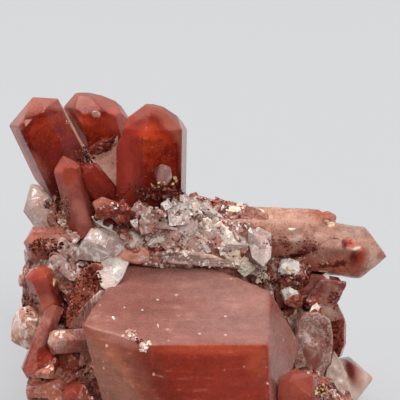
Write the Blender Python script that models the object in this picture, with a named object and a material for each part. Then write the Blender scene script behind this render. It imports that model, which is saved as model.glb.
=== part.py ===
"""A quartz cluster with red iron-oxide phantoms, grown on a rough matrix that is cut flat at its base.

Sizes are in millimetres, and the finished objects are in metres. X runs to the right, Y away from the
front and Z up. The base lies at Z = 0. Each crystal is a hexagonal prism with six end faces, cut from
a blank by one plane for each face. The matrix is a union of broken blocks, with a socket for each
crystal that grew from it.
"""
import math
import random
from dataclasses import dataclass

import bmesh
import bpy
from mathutils import Vector

MM = 0.001
BLANK = 240.0               # side of the cube that each shape is cut from
CLEARANCE = 0.3             # gap between a crystal and whatever it grew against
SIDES = 6
TINY = 1e-4                 # how close to a plane a point counts as lying on it
NEARLY_UPRIGHT = 0.98       # cosine past which two directions count as one
GOLDEN_TURN = math.pi * (3.0 - math.sqrt(5.0))       # spreads a block's facets evenly around it
HEIGHT_JITTER = 0.08
TURN_JITTER = 0.35
FACET_REACH = (0.80, 0.97)  # how far out a block's facets lie, of its half size
ORIGIN = Vector((-0.065, -3.425, 0.0))     # middle of the footprint, which becomes the origin

# The main crystal points forward and a little down. These are the corners of its top face.
FRONT_EDGE = (0.0, -24.0, 28.1)
LEFT_CORNER = (-7.2, -24.0, 28.1)
LEFT_SHOULDER = (-18.4, -19.1, 29.3)
RIGHT_CORNER = (10.2, -24.0, 28.1)
RIGHT_END = (0.925, -0.285, 0.253)


@dataclass(frozen=True)
class Finish:
    """Colour, roughness and metallic value of one kind of mineral."""

    name: str
    colour: tuple
    roughness: float
    metallic: float = 0.0


ROSE = Finish("rose_quartz_skin", (0.37, 0.16, 0.12), 0.30)
RED = Finish("red_phantom_quartz", (0.25, 0.045, 0.025), 0.25)
PALE = Finish("pale_quartz", (0.58, 0.45, 0.38), 0.35)
SMOKY = Finish("smoky_quartz", (0.22, 0.11, 0.08), 0.30)
ROUGH = Finish("hematite_stained_rock", (0.26, 0.11, 0.08), 0.85)


@dataclass(frozen=True)
class Crystal:
    """A hexagonal crystal from its broken root to its point."""

    name: str
    finish: Finish
    root: tuple
    tip: tuple
    width: float            # across flats
    roll: float = 0.0       # degrees, with a flat to the front at 0
    pitch: float = 50.0     # degrees from the crystal's equator up to an end face's normal
    taper: float = 0.0      # degrees that the sides lean in; below 0 they lean out
    apex: tuple = (0.0, 0.0)     # how far the point stands off the axis, to the front and to the side
    trims: tuple = (0.0,) * SIDES     # how far each end face is moved in from the point
    cuts: tuple = ()        # more flats, each a point and an outward normal


@dataclass(frozen=True)
class Block:
    """A broken convex block, cut by facets at seeded angles around a centre."""

    name: str
    finish: Finish
    centre: tuple
    half: tuple             # half its width, depth and height
    seed: int = 0
    facets: int = 13
    cuts: tuple = ()


DOWN = (0.0, 0.0, -1.0)
FLOOR_CUT = ((0.0, 0.0, 0.0), DOWN)

MAIN_CUTS = (
    (FRONT_EDGE, (0.0, -0.242, 0.970)),                    # rose top face
    (FRONT_EDGE, (0.0, -0.790, 0.613)),                    # red end face
    (LEFT_CORNER, (-0.32, -0.84, 0.44)),                   # mauve strip left of the red face
    (LEFT_SHOULDER, (-0.675, -0.734, -0.084)),             # grey-brown end face on the left
    (LEFT_SHOULDER, (-0.913, 0.304, -0.274)),              # left side, leaning in to the back
    (LEFT_SHOULDER, (-0.746, 0.081, 0.662)),               # thin strip at the left of the top face
    (RIGHT_CORNER, (0.85, -0.18, 0.47)),                   # right side
    (RIGHT_CORNER, RIGHT_END),                             # right end face
    ((17.0, -7.3, 22.0), (0.865, -0.144, -0.48)),          # lower right side
    ((11.3, -9.8, 31.6), (0.607, 0.717, 0.342)),           # broken back corner on the right
    ((3.0, -33.5, 14.0), (0.0, -0.97, -0.24)),             # blunt front
    ((2.0, -30.0, 8.0), (0.0, -0.41, -0.91)),              # end face underneath
    ((-8.0, -22.0, 6.0), (-0.55, -0.35, -0.76)),           # lower left side
    ((8.0, -22.0, 6.0), (0.60, -0.35, -0.72)),             # lower right end face
    ((0.0, 2.0, 26.0), (0.0, 0.970, 0.242)),               # broken root
    FLOOR_CUT,
)
BESIDE_MAIN = ((10.6, -24.1, 28.2), (-0.925, 0.285, -0.253))     # grew against the right end face

PIECES = (
    Block("crystal_main", ROSE, (0.0, -15.0, 16.0), (21.0, 24.0, 19.0), facets=0, cuts=MAIN_CUTS),
    Crystal("crystal_beside_main", ROSE, (20.6, -17.0, 8.0), (13.2, -28.0, 24.0), 5.8, roll=10,
            pitch=55, cuts=(BESIDE_MAIN, FLOOR_CUT)),
    Crystal("crystal_fan_left", RED, (-22.2, 5.5, 44.2), (-28.8, 4.5, 60.2), 8.3, pitch=60,
            apex=(0.0, 1.0), cuts=(((-27.3, 5.0, 45.5), (-0.65, 0.0, -0.76)),)),
    Crystal("crystal_fan_middle", RED, (-14.6, 13.0, 41.0), (-18.9, 12.5, 61.4), 9.6, roll=8,
            pitch=50, apex=(0.0, -1.8),
            cuts=(((-19.0, 12.5, 59.6), (0.10, 0.0, 0.99)), ((-13.2, 12.5, 56.2), (0.80, 0.0, 0.60)))),
    Crystal("crystal_fan_right", RED, (-8.2, 1.0, 40.0), (-7.8, 1.0, 60.8), 10.8, roll=23, pitch=52,
            cuts=(((-7.5, 1.0, 59.7), (0.17, 0.0, 0.98)), ((-12.7, 1.0, 55.5), (-0.92, 0.0, 0.39)),
                  ((-2.9, 1.0, 56.4), (0.83, 0.0, 0.56)))),
    Crystal("crystal_prism_front", ROSE, (-19.0, -2.0, 38.6), (-22.4, -2.0, 52.4), 4.0, roll=15,
            pitch=42, taper=1.0, trims=(0.0, 0.4, 0.0, 0.0, 0.0, 0.4)),
    Crystal("crystal_prism_dark", RED, (-12.4, -0.5, 40.4), (-20.2, 0.0, 50.2), 4.4, roll=10),
    Crystal("crystal_prism_low", RED, (-9.8, -5.0, 42.0), (-17.6, -5.0, 45.0), 2.6, roll=10, pitch=45),
    Crystal("crystal_wedge_left", PALE, (-23.8, 7.0, 36.5), (-29.2, 7.0, 45.0), 6.5, roll=10, pitch=45),
    Crystal("crystal_druse_left", ROSE, (-22.0, -1.0, 36.6), (-29.4, -2.0, 37.2), 4.8, roll=30,
            pitch=60),
    Crystal("crystal_arm", ROSE, (6.0, 6.5, 35.6), (32.0, 1.0, 33.8), 8.6, roll=10, pitch=44),
    Crystal("crystal_arm_low", SMOKY, (13.0, 1.0, 27.0), (25.0, 0.0, 29.4), 5.0, roll=10, pitch=44),
    Crystal("crystal_corner", PALE, (20.0, 0.5, 10.5), (30.0, -2.0, 12.8), 8.0, roll=10, pitch=44),
    Crystal("crystal_red_left", RED, (-24.0, -5.0, 25.0), (-26.6, -8.0, 35.0), 4.0, roll=10, pitch=56),
    Crystal("crystal_oblique_left", ROSE, (-23.8, -7.0, 28.0), (-28.2, -11.5, 17.0), 2.8, roll=20,
            pitch=50),
    Crystal("crystal_blob_left", ROSE, (-15.5, -7.0, 22.0), (-24.6, -12.0, 23.4), 3.8, roll=0,
            pitch=62),
    Crystal("crystal_low_left", RED, (-19.0, -6.0, 7.0), (-20.4, -15.0, 16.6), 3.8, roll=20, pitch=50),
    Block("block_red_left", RED, (-25.2, -10.2, 20.2), (2.4, 2.4, 2.8), seed=3),
    Block("block_white_left", PALE, (-28.4, -3.0, 22.4), (3.6, 3.6, 4.0), seed=7),
    Block("block_clear_front", PALE, (-16.2, -3.6, 37.4), (4.4, 3.4, 2.9), seed=5),
    Block("block_cleavage", PALE, (-15.6, -2.4, 33.6), (2.6, 2.6, 3.0), seed=9),
    Block("block_grey_arm", PALE, (9.8, -2.2, 36.6), (2.4, 2.6, 3.6), seed=11),
    Block("block_brown_right", SMOKY, (19.4, -4.0, 19.2), (2.9, 3.6, 6.2), seed=13),
    Block("block_slab_right", SMOKY, (23.8, 1.2, 19.6), (1.4, 3.6, 4.8), seed=17),
    Block("block_flake_right", PALE, (23.0, -4.4, 12.2), (2.3, 1.8, 4.2), seed=19),
    Crystal("crystal_back_centre", RED, (0.0, 12.0, 21.0), (2.0, 27.0, 33.0), 9.0, roll=12, pitch=42),
    Crystal("crystal_back_left", ROSE, (-13.0, 10.0, 19.0), (-21.5, 23.5, 26.5), 7.2, roll=25, pitch=42),
    Crystal("crystal_back_right", ROSE, (11.0, 10.0, 17.0), (20.0, 23.5, 21.5), 7.6, roll=5, pitch=42),
    Crystal("crystal_back_low", PALE, (-3.0, 12.0, 9.5), (-7.0, 27.0, 12.5), 6.6, roll=18, pitch=42),
    Crystal("crystal_back_low_right", RED, (7.0, 12.0, 8.5), (13.5, 25.5, 7.5), 5.4, roll=30, pitch=42),
    Crystal("crystal_back_small", RED, (6.0, 11.0, 28.0), (9.5, 20.0, 35.0), 4.4, roll=8, pitch=44),
    Crystal("crystal_back_upper", ROSE, (-9.0, 11.0, 33.0), (-11.0, 22.0, 38.5), 5.2, roll=20, pitch=42),
    Crystal("crystal_back_twin", PALE, (-4.5, 12.0, 26.0), (-6.5, 21.5, 31.0), 3.6, roll=3, pitch=42),
    Crystal("crystal_side_left_low", ROSE, (-18.0, 4.0, 6.0), (-26.5, 12.5, 7.0), 5.0, roll=10, pitch=44),
    Crystal("crystal_side_right_low", RED, (15.0, 4.0, 7.0), (25.0, 13.5, 6.5), 5.4, roll=26, pitch=44),
    Crystal("crystal_side_left", ROSE, (-17.0, 7.0, 13.0), (-25.5, 16.5, 17.5), 6.0, roll=15, pitch=44),
    Crystal("crystal_side_right", PALE, (15.0, 6.0, 22.0), (21.5, 16.5, 27.5), 5.4, roll=22, pitch=44),
)

ARM_UPPER = (
    Crystal("arm_upper", ROSE, (3.0, 6.5, 38.0), (23.5, 4.0, 37.8), 6.2, roll=10, pitch=44),
    Crystal("arm_bud", ROSE, (19.2, 4.0, 38.6), (23.4, 3.0, 40.5), 2.6, roll=10, pitch=44),
)

ROCKS = (
    Block("core", ROUGH, (-2.0, 7.0, 15.0), (24.0, 12.5, 25.0), seed=21, facets=22),
    Block("flank_left_high", ROUGH, (-19.0, 2.0, 28.5), (11.0, 9.0, 10.5), seed=22, facets=18),
    Block("flank_left_low", ROUGH, (-20.0, -3.0, 8.0), (9.5, 10.0, 17.0), seed=23, facets=18),
    Block("flank_right", ROUGH, (13.5, 4.0, 12.0), (10.5, 9.0, 20.0), seed=24, facets=18),
    Block("ridge", ROUGH, (-1.0, 3.0, 36.0), (16.0, 7.5, 7.2), seed=25, facets=18),
    Block("ridge_left", ROUGH, (-16.0, 0.5, 37.0), (8.0, 6.0, 5.2), seed=26, facets=16),
    Block("fan_foot", ROUGH, (-13.5, 9.5, 42.5), (8.5, 6.0, 9.8), seed=27, facets=16),
    Block("fan_foot_left", ROUGH, (-22.0, 5.5, 40.0), (4.5, 4.5, 5.0), seed=28, facets=14),
    Block("back_left", ROUGH, (-12.0, 11.0, 9.0), (12.5, 8.0, 21.0), seed=29, facets=18),
    Block("back_right", ROUGH, (8.0, 11.0, 8.0), (13.0, 8.0, 20.0), seed=30, facets=18),
    Block("foot_right", ROUGH, (18.0, -8.0, 5.0), (8.0, 11.5, 12.5), seed=31, facets=18),
    Block("under_arm", ROUGH, (15.0, 3.0, 29.5), (7.5, 5.5, 6.0), seed=32, facets=16),
    Block("back_hump", ROUGH, (-3.0, 11.0, 29.0), (12.0, 6.5, 10.0), seed=33, facets=18),
)


def cut_shape(mesh, point, normal):
    """Cut away what lies outside a plane, and close the cut with one face."""
    everything = mesh.verts[:] + mesh.edges[:] + mesh.faces[:]
    result = bmesh.ops.bisect_plane(mesh, geom=everything, dist=TINY, plane_co=point,
                                    plane_no=normal, clear_outer=True)
    rim = [item for item in result["geom_cut"] if isinstance(item, bmesh.types.BMEdge)]
    open_rim = [edge for edge in rim if edge.is_boundary]
    if len(open_rim) > 2:
        bmesh.ops.edgeloop_fill(mesh, edges=open_rim)


def crystal_frame(crystal):
    """Return a crystal's own directions: to its front, to its side and along its length."""
    along = (Vector(crystal.tip) - Vector(crystal.root)).normalized()
    front = Vector((0.0, -1.0, 0.0))
    if abs(along.dot(front)) > NEARLY_UPRIGHT:
        front = Vector((0.0, 0.0, 1.0))
    front = (front - along * along.dot(front)).normalized()
    return front, along.cross(front), along


def crystal_planes(crystal):
    """Return the point and outward normal of every face of a crystal."""
    root = Vector(crystal.root)
    tip = Vector(crystal.tip)
    front, side, along = crystal_frame(crystal)
    middle = (root + tip) / 2
    point = tip + front * crystal.apex[0] + side * crystal.apex[1]
    taper = math.radians(crystal.taper)
    pitch = math.radians(crystal.pitch)
    planes = [(root, -along)]
    for index in range(SIDES):
        turn = math.radians(crystal.roll + 360.0 / SIDES * index)
        outward = front * math.cos(turn) + side * math.sin(turn)
        planes.append((middle + outward * crystal.width / 2,
                       outward * math.cos(taper) + along * math.sin(taper)))
        end_normal = outward * math.cos(pitch) + along * math.sin(pitch)
        planes.append((point - end_normal * crystal.trims[index], end_normal))
    return planes


def block_planes(block):
    """Return the point and outward normal of every facet of a broken block."""
    draw = random.Random(block.seed)
    centre = Vector(block.centre)
    half = Vector(block.half)
    planes = []
    for index in range(block.facets):
        height = 1.0 - 2.0 * (index + 0.5) / block.facets + draw.uniform(-HEIGHT_JITTER, HEIGHT_JITTER)
        height = max(-NEARLY_UPRIGHT, min(NEARLY_UPRIGHT, height))
        turn = GOLDEN_TURN * index + draw.uniform(-TURN_JITTER, TURN_JITTER)
        ring = math.sqrt(1.0 - height * height)
        direction = Vector((ring * math.cos(turn), ring * math.sin(turn), height))
        reach = draw.uniform(*FACET_REACH)
        spot = Vector([direction[axis] * half[axis] * reach for axis in range(3)])
        normal = Vector([direction[axis] / half[axis] for axis in range(3)]).normalized()
        planes.append((centre + spot, normal))
    for axis in range(3):
        for sign in (-1.0, 1.0):
            normal = Vector((0.0, 0.0, 0.0))
            normal[axis] = sign
            planes.append((centre + normal * half[axis], normal))
    return planes


def shape_planes(piece):
    """Return all planes of a crystal or a block, its own cuts among them."""
    planes = crystal_planes(piece) if isinstance(piece, Crystal) else block_planes(piece)
    return planes + [(Vector(point), Vector(normal).normalized()) for point, normal in piece.cuts]


def solid_object(name, planes, centre, grow=0.0):
    """Cut a convex solid out of a blank, its faces moved out by grow, and place it by its centre."""
    centre = Vector(centre)
    mesh = bmesh.new()
    bmesh.ops.create_cube(mesh, size=BLANK)
    for point, normal in planes:
        cut_shape(mesh, point - centre + normal * grow, normal)
    bmesh.ops.dissolve_degenerate(mesh, dist=TINY, edges=mesh.edges[:])
    bmesh.ops.recalc_face_normals(mesh, faces=mesh.faces[:])
    bmesh.ops.scale(mesh, vec=(MM, MM, MM), verts=mesh.verts[:])
    data = bpy.data.meshes.new(name)
    mesh.to_mesh(data)
    mesh.free()
    solid = bpy.data.objects.new(name, data)
    solid.location = (centre - ORIGIN) * MM
    bpy.context.scene.collection.objects.link(solid)
    return solid


def piece_centre(piece):
    """Return the point that a piece is modelled around."""
    return piece.root if isinstance(piece, Crystal) else piece.centre


def material_for(finish):
    """Return the Principled material of a finish, made once."""
    material = bpy.data.materials.get(finish.name)
    if material is None:
        material = bpy.data.materials.new(finish.name)
        material.use_nodes = True
        shader = material.node_tree.nodes["Principled BSDF"]
        shader.inputs["Base Color"].default_value = (*finish.colour, 1.0)
        shader.inputs["Roughness"].default_value = finish.roughness
        shader.inputs["Metallic"].default_value = finish.metallic
    return material


def make_cutter(piece, collection):
    """Make the slightly larger copy of a piece that cuts its socket."""
    cutter = solid_object("socket_" + piece.name, shape_planes(piece), piece_centre(piece), CLEARANCE)
    hide(cutter, collection)
    return cutter


def hide(guide, collection):
    """Move a cutter or a guide into a collection, where the build leaves it out."""
    bpy.context.scene.collection.objects.unlink(guide)
    collection.objects.link(guide)
    guide.hide_render = True
    guide.display_type = "WIRE"


def add_boolean(solid, operation, other):
    """Join or cut a solid with another object, or with all the objects of a collection."""
    modifier = solid.modifiers.new(operation.lower(), "BOOLEAN")
    modifier.operation = operation
    modifier.solver = "EXACT"
    if isinstance(other, bpy.types.Collection):
        modifier.operand_type = "COLLECTION"
        modifier.collection = other
    else:
        modifier.object = other


def corner_range(solid):
    """Return the lowest and highest corner of an object's box, in world space."""
    corners = [solid.matrix_world @ Vector(corner) for corner in solid.bound_box]
    low = Vector([min(corner[axis] for corner in corners) for axis in range(3)])
    high = Vector([max(corner[axis] for corner in corners) for axis in range(3)])
    return low, high


def boxes_meet(first, second):
    """Tell whether two objects' boxes overlap."""
    low_a, high_a = corner_range(first)
    low_b, high_b = corner_range(second)
    return all(low_a[axis] < high_b[axis] and low_b[axis] < high_a[axis] for axis in range(3))


def settle(solid):
    """Apply an object's modifiers, and keep its largest body."""
    graph = bpy.context.evaluated_depsgraph_get()
    data = bpy.data.meshes.new_from_object(solid.evaluated_get(graph))
    solid.modifiers.clear()
    mesh = bmesh.new()
    mesh.from_mesh(data)
    bmesh.ops.remove_doubles(mesh, verts=mesh.verts[:], dist=TINY * MM)
    bodies = loose_bodies(mesh)
    bodies.sort(key=len)
    scraps = [face for body in bodies[:-1] for face in body]
    bmesh.ops.delete(mesh, geom=scraps, context="FACES")
    bmesh.ops.triangulate(mesh, faces=mesh.faces[:])
    mesh.to_mesh(data)
    mesh.free()
    solid.data = data


def loose_bodies(mesh):
    """Return the faces of each separate body of a mesh."""
    seen = set()
    bodies = []
    for start in mesh.faces:
        if start in seen:
            continue
        seen.add(start)
        body = []
        front = [start]
        while front:
            face = front.pop()
            body.append(face)
            for edge in face.edges:
                for neighbour in edge.link_faces:
                    if neighbour not in seen:
                        seen.add(neighbour)
                        front.append(neighbour)
        bodies.append(body)
    return bodies


def build_pieces(sockets):
    """Make every crystal and block, each cut back where it meets an earlier one."""
    made = []
    for piece in PIECES:
        solid = solid_object(piece.name, shape_planes(piece), piece_centre(piece))
        if piece.name == "crystal_arm":
            add_arm_parts(solid, sockets)
        bpy.context.view_layer.update()
        for _, cutter in made:
            if boxes_meet(solid, cutter):
                add_boolean(solid, "DIFFERENCE", cutter)
        settle(solid)
        solid.data.materials.clear()
        solid.data.materials.append(material_for(piece.finish))
        made.append((solid, make_cutter(piece, sockets)))
    return [solid for solid, _ in made]


def add_arm_parts(solid, sockets):
    """Join the two smaller crystals that grew through the arm crystal to it."""
    guides = bpy.data.collections.new("arm_parts")
    bpy.context.scene.collection.children.link(guides)
    for part in ARM_UPPER:
        hide(solid_object(part.name, shape_planes(part), piece_centre(part)), guides)
        make_cutter(part, sockets)
    add_boolean(solid, "UNION", guides)


def build_matrix(sockets):
    """Join the broken blocks into one rock, cut the sockets out of it and cut it flat at the base."""
    rocks = bpy.data.collections.new("rocks")
    bpy.context.scene.collection.children.link(rocks)
    matrix = None
    for rock in ROCKS:
        planes = shape_planes(rock)
        planes.append((Vector(FLOOR_CUT[0]), Vector(DOWN)))
        solid = solid_object("rock_" + rock.name, planes, rock.centre)
        if matrix is None:
            matrix = solid
        else:
            hide(solid, rocks)
    matrix.name = "matrix"
    add_boolean(matrix, "UNION", rocks)
    add_boolean(matrix, "DIFFERENCE", sockets)
    settle(matrix)
    matrix.data.materials.clear()
    matrix.data.materials.append(material_for(ROUGH))
    return matrix


def main():
    """Build the cluster from an empty scene."""
    for old in list(bpy.data.objects):
        bpy.data.objects.remove(old, do_unlink=True)
    sockets = bpy.data.collections.new("sockets")
    bpy.context.scene.collection.children.link(sockets)
    build_pieces(sockets)
    build_matrix(sockets)


main()
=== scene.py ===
"""The finish of a hematoid quartz cluster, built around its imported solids.

Lengths in the classes below are in millimetres, and meshes are in metres. Places that only one view
settles are given as the camera frames them, across and down a frame 400 units wide and high, and
are then laid on whatever surface lies there.
"""

import logging
import math
import random
from dataclasses import dataclass, replace
from enum import Enum
from typing import Any, Iterable, Optional, Sequence

import bpy
import numpy as np
from mathutils import Euler, Matrix, Vector
from mathutils.bvhtree import BVHTree


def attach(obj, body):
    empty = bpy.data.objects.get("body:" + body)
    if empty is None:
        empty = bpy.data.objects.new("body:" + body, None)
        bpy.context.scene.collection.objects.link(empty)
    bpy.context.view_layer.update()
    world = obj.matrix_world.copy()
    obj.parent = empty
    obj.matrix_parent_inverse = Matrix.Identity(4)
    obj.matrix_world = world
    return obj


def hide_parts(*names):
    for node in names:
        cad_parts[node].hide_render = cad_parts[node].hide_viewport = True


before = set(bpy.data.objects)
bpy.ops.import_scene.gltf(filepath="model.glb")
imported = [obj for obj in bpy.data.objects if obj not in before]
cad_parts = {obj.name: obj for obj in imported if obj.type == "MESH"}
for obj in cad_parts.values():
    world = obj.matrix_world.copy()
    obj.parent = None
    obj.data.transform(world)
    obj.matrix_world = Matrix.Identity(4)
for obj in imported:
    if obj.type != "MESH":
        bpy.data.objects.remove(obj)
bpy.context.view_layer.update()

MM = 0.001
MERGE = 1e-6                 # metres within which a carried-over mesh's corners are one
FLAT_ANGLE = math.radians(0.6)
QUARTZ_IOR = 1.544
FRAME_SIDE = 400.0           # units across the camera's frame
HEART = (0.0, 3.0, 20.0)     # the point that the crystals grow out from, in millimetres
SMALL_BIAS = 1.6             # above 1, small sizes are more common than large ones
BODY = "root"
LOG = logging.getLogger("cluster")

Pair = tuple[float, float]
Triple = tuple[float, float, float]
Colour = Triple
Stops = Sequence[tuple[float, Colour]]
Outline = tuple[Pair, ...]
Piece = bpy.types.Object
Material = bpy.types.Material
Socket = bpy.types.NodeSocket
Feed = Socket | float | Triple       # what goes into a node's input
ORIGIN = (0.0, 0.0, 0.0)
EVEN = (1.0, 1.0, 1.0)


class Slot(str, Enum):
    """The record's material slots."""

    ROSE = "rose_quartz_skin"
    RED = "red_phantom_quartz"
    PALE = "pale_quartz"
    SMOKY = "smoky_quartz"
    ROCK = "hematite_stained_rock"


# --- Working on meshes ---


def pick_only(piece: Piece) -> None:
    """Select one object, and make it active.

    Args:
        piece: the object.
    """
    bpy.ops.object.select_all(action="DESELECT")
    piece.select_set(True)
    bpy.context.view_layer.objects.active = piece


def start_edit(piece: Piece) -> None:
    """Open one object in edit mode, with all of it selected.

    Args:
        piece: the object.
    """
    pick_only(piece)
    bpy.ops.object.mode_set(mode="EDIT")
    bpy.ops.mesh.select_all(action="SELECT")


def end_edit() -> None:
    """Leave edit mode."""
    bpy.ops.object.mode_set(mode="OBJECT")


def apply_modifier(piece: Piece, kind: str, **settings: object) -> None:
    """Add a modifier and apply it.

    Args:
        piece: the object that it works on.
        kind: the modifier's type.
        settings: its properties.
    """
    pick_only(piece)
    modifier = piece.modifiers.new(kind.lower(), kind)
    for key, value in settings.items():
        setattr(modifier, key, value)
    bpy.ops.object.modifier_apply(modifier=modifier.name)


def smooth_by_angle(piece: Piece, degrees: float) -> None:
    """Shade a piece smooth, but for edges sharper than an angle.

    Args:
        piece: the piece.
        degrees: the angle.
    """
    pick_only(piece)
    bpy.ops.object.shade_smooth_by_angle(angle=math.radians(degrees))


def carry_over(node: str, name: str) -> Piece:
    """Copy a CAD node into a new piece with whole faces in place of loose triangles.

    Args:
        node: the CAD node's name.
        name: the new piece's name.

    Returns:
        The new object, without a material.
    """
    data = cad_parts[node].data.copy()
    data.materials.clear()
    piece = bpy.data.objects.new(name, data)
    bpy.context.scene.collection.objects.link(piece)
    pick_only(piece)
    bpy.ops.mesh.customdata_custom_splitnormals_clear()
    start_edit(piece)
    bpy.ops.mesh.remove_doubles(threshold=MERGE)
    bpy.ops.mesh.dissolve_limited(angle_limit=FLAT_ANGLE)
    bpy.ops.mesh.normals_make_consistent(inside=False)
    end_edit()
    return piece


def points_of(piece: Piece) -> np.ndarray:
    """Read a piece's corners.

    Args:
        piece: the piece.

    Returns:
        Their places in millimetres, one in each row.
    """
    flat = np.empty(len(piece.data.vertices) * 3)
    piece.data.vertices.foreach_get("co", flat)
    return flat.reshape(-1, 3) / MM


def set_points(piece: Piece, points: np.ndarray) -> None:
    """Move a piece's corners.

    Args:
        piece: the piece.
        points: their places in millimetres, one in each row.
    """
    piece.data.vertices.foreach_set("co", (points * MM).ravel())
    piece.data.update()


def flatten_base(piece: Piece) -> None:
    """Keep a piece from reaching below the surface that the cluster stands on.

    Args:
        piece: the piece.
    """
    points = points_of(piece)
    points[:, 2] = np.maximum(points[:, 2], 0.0)
    set_points(piece, points)


def store_values(piece: Piece, name: str, values: np.ndarray) -> None:
    """Store one number for each corner of a piece, for its material to read.

    Args:
        piece: the piece.
        name: the value's name.
        values: the numbers.
    """
    attribute = piece.data.attributes.new(name, "FLOAT", "POINT")
    attribute.data.foreach_set("value", values.astype(np.float32))


def relief(piece: Piece, pattern: str, grain: float, depth: float,
           middle: float = 0.5) -> None:
    """Roughen a piece along its normals.

    Args:
        piece: the object to roughen.
        pattern: CLOUDS, VORONOI, STUCCI or MUSGRAVE.
        grain: the pattern's size in millimetres.
        depth: the height between its lowest and highest point in millimetres.
        middle: the pattern's value that leaves the surface where it is.
    """
    texture = bpy.data.textures.new(piece.name + "_" + pattern.lower(), pattern)
    texture.noise_scale = grain * MM
    apply_modifier(piece, "DISPLACE", texture=texture, texture_coords="LOCAL",
                   strength=depth * MM, mid_level=middle)
    bpy.data.textures.remove(texture)


def chop(piece: Piece, cuts: int, depth: float, seed: int) -> None:
    """Knock flat chips off a piece, as broken quartz has.

    Args:
        piece: the object to chip.
        cuts: how many chips come off.
        depth: the deepest cut in millimetres.
        seed: the seed of the cuts.
    """
    draw = random.Random(seed)
    for _ in range(cuts):
        points = points_of(piece)
        normal = Vector([draw.gauss(0.0, 1.0) for _ in range(3)])
        normal.z = abs(normal.z)
        normal.normalize()
        reach = float((points @ np.array(normal)).max()) - depth * draw.uniform(0.25, 1.0)
        start_edit(piece)
        bpy.ops.mesh.bisect(plane_co=normal * reach * MM, plane_no=normal, use_fill=True, clear_outer=True)
        end_edit()
    start_edit(piece)
    bpy.ops.mesh.normals_make_consistent(inside=False)
    end_edit()


def settle_piece(piece: Piece, material: Material,
                 stands_for: Sequence[str] = ()) -> Piece:
    """Dress a finished piece and fix it to the cluster.

    Args:
        piece: the finished piece.
        material: its material.
        stands_for: the CAD nodes that it takes the place of.

    Returns:
        The piece.
    """
    piece.data.materials.clear()
    piece.data.materials.append(material)
    if stands_for:
        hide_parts(*stands_for)
    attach(piece, BODY)
    return piece


# --- Building materials ---


@dataclass(frozen=True)
class Zone:
    """An ellipsoid that a finish is centred on, in millimetres and radians."""

    centre: Triple
    radii: Triple
    turn: Triple = ORIGIN


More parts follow.
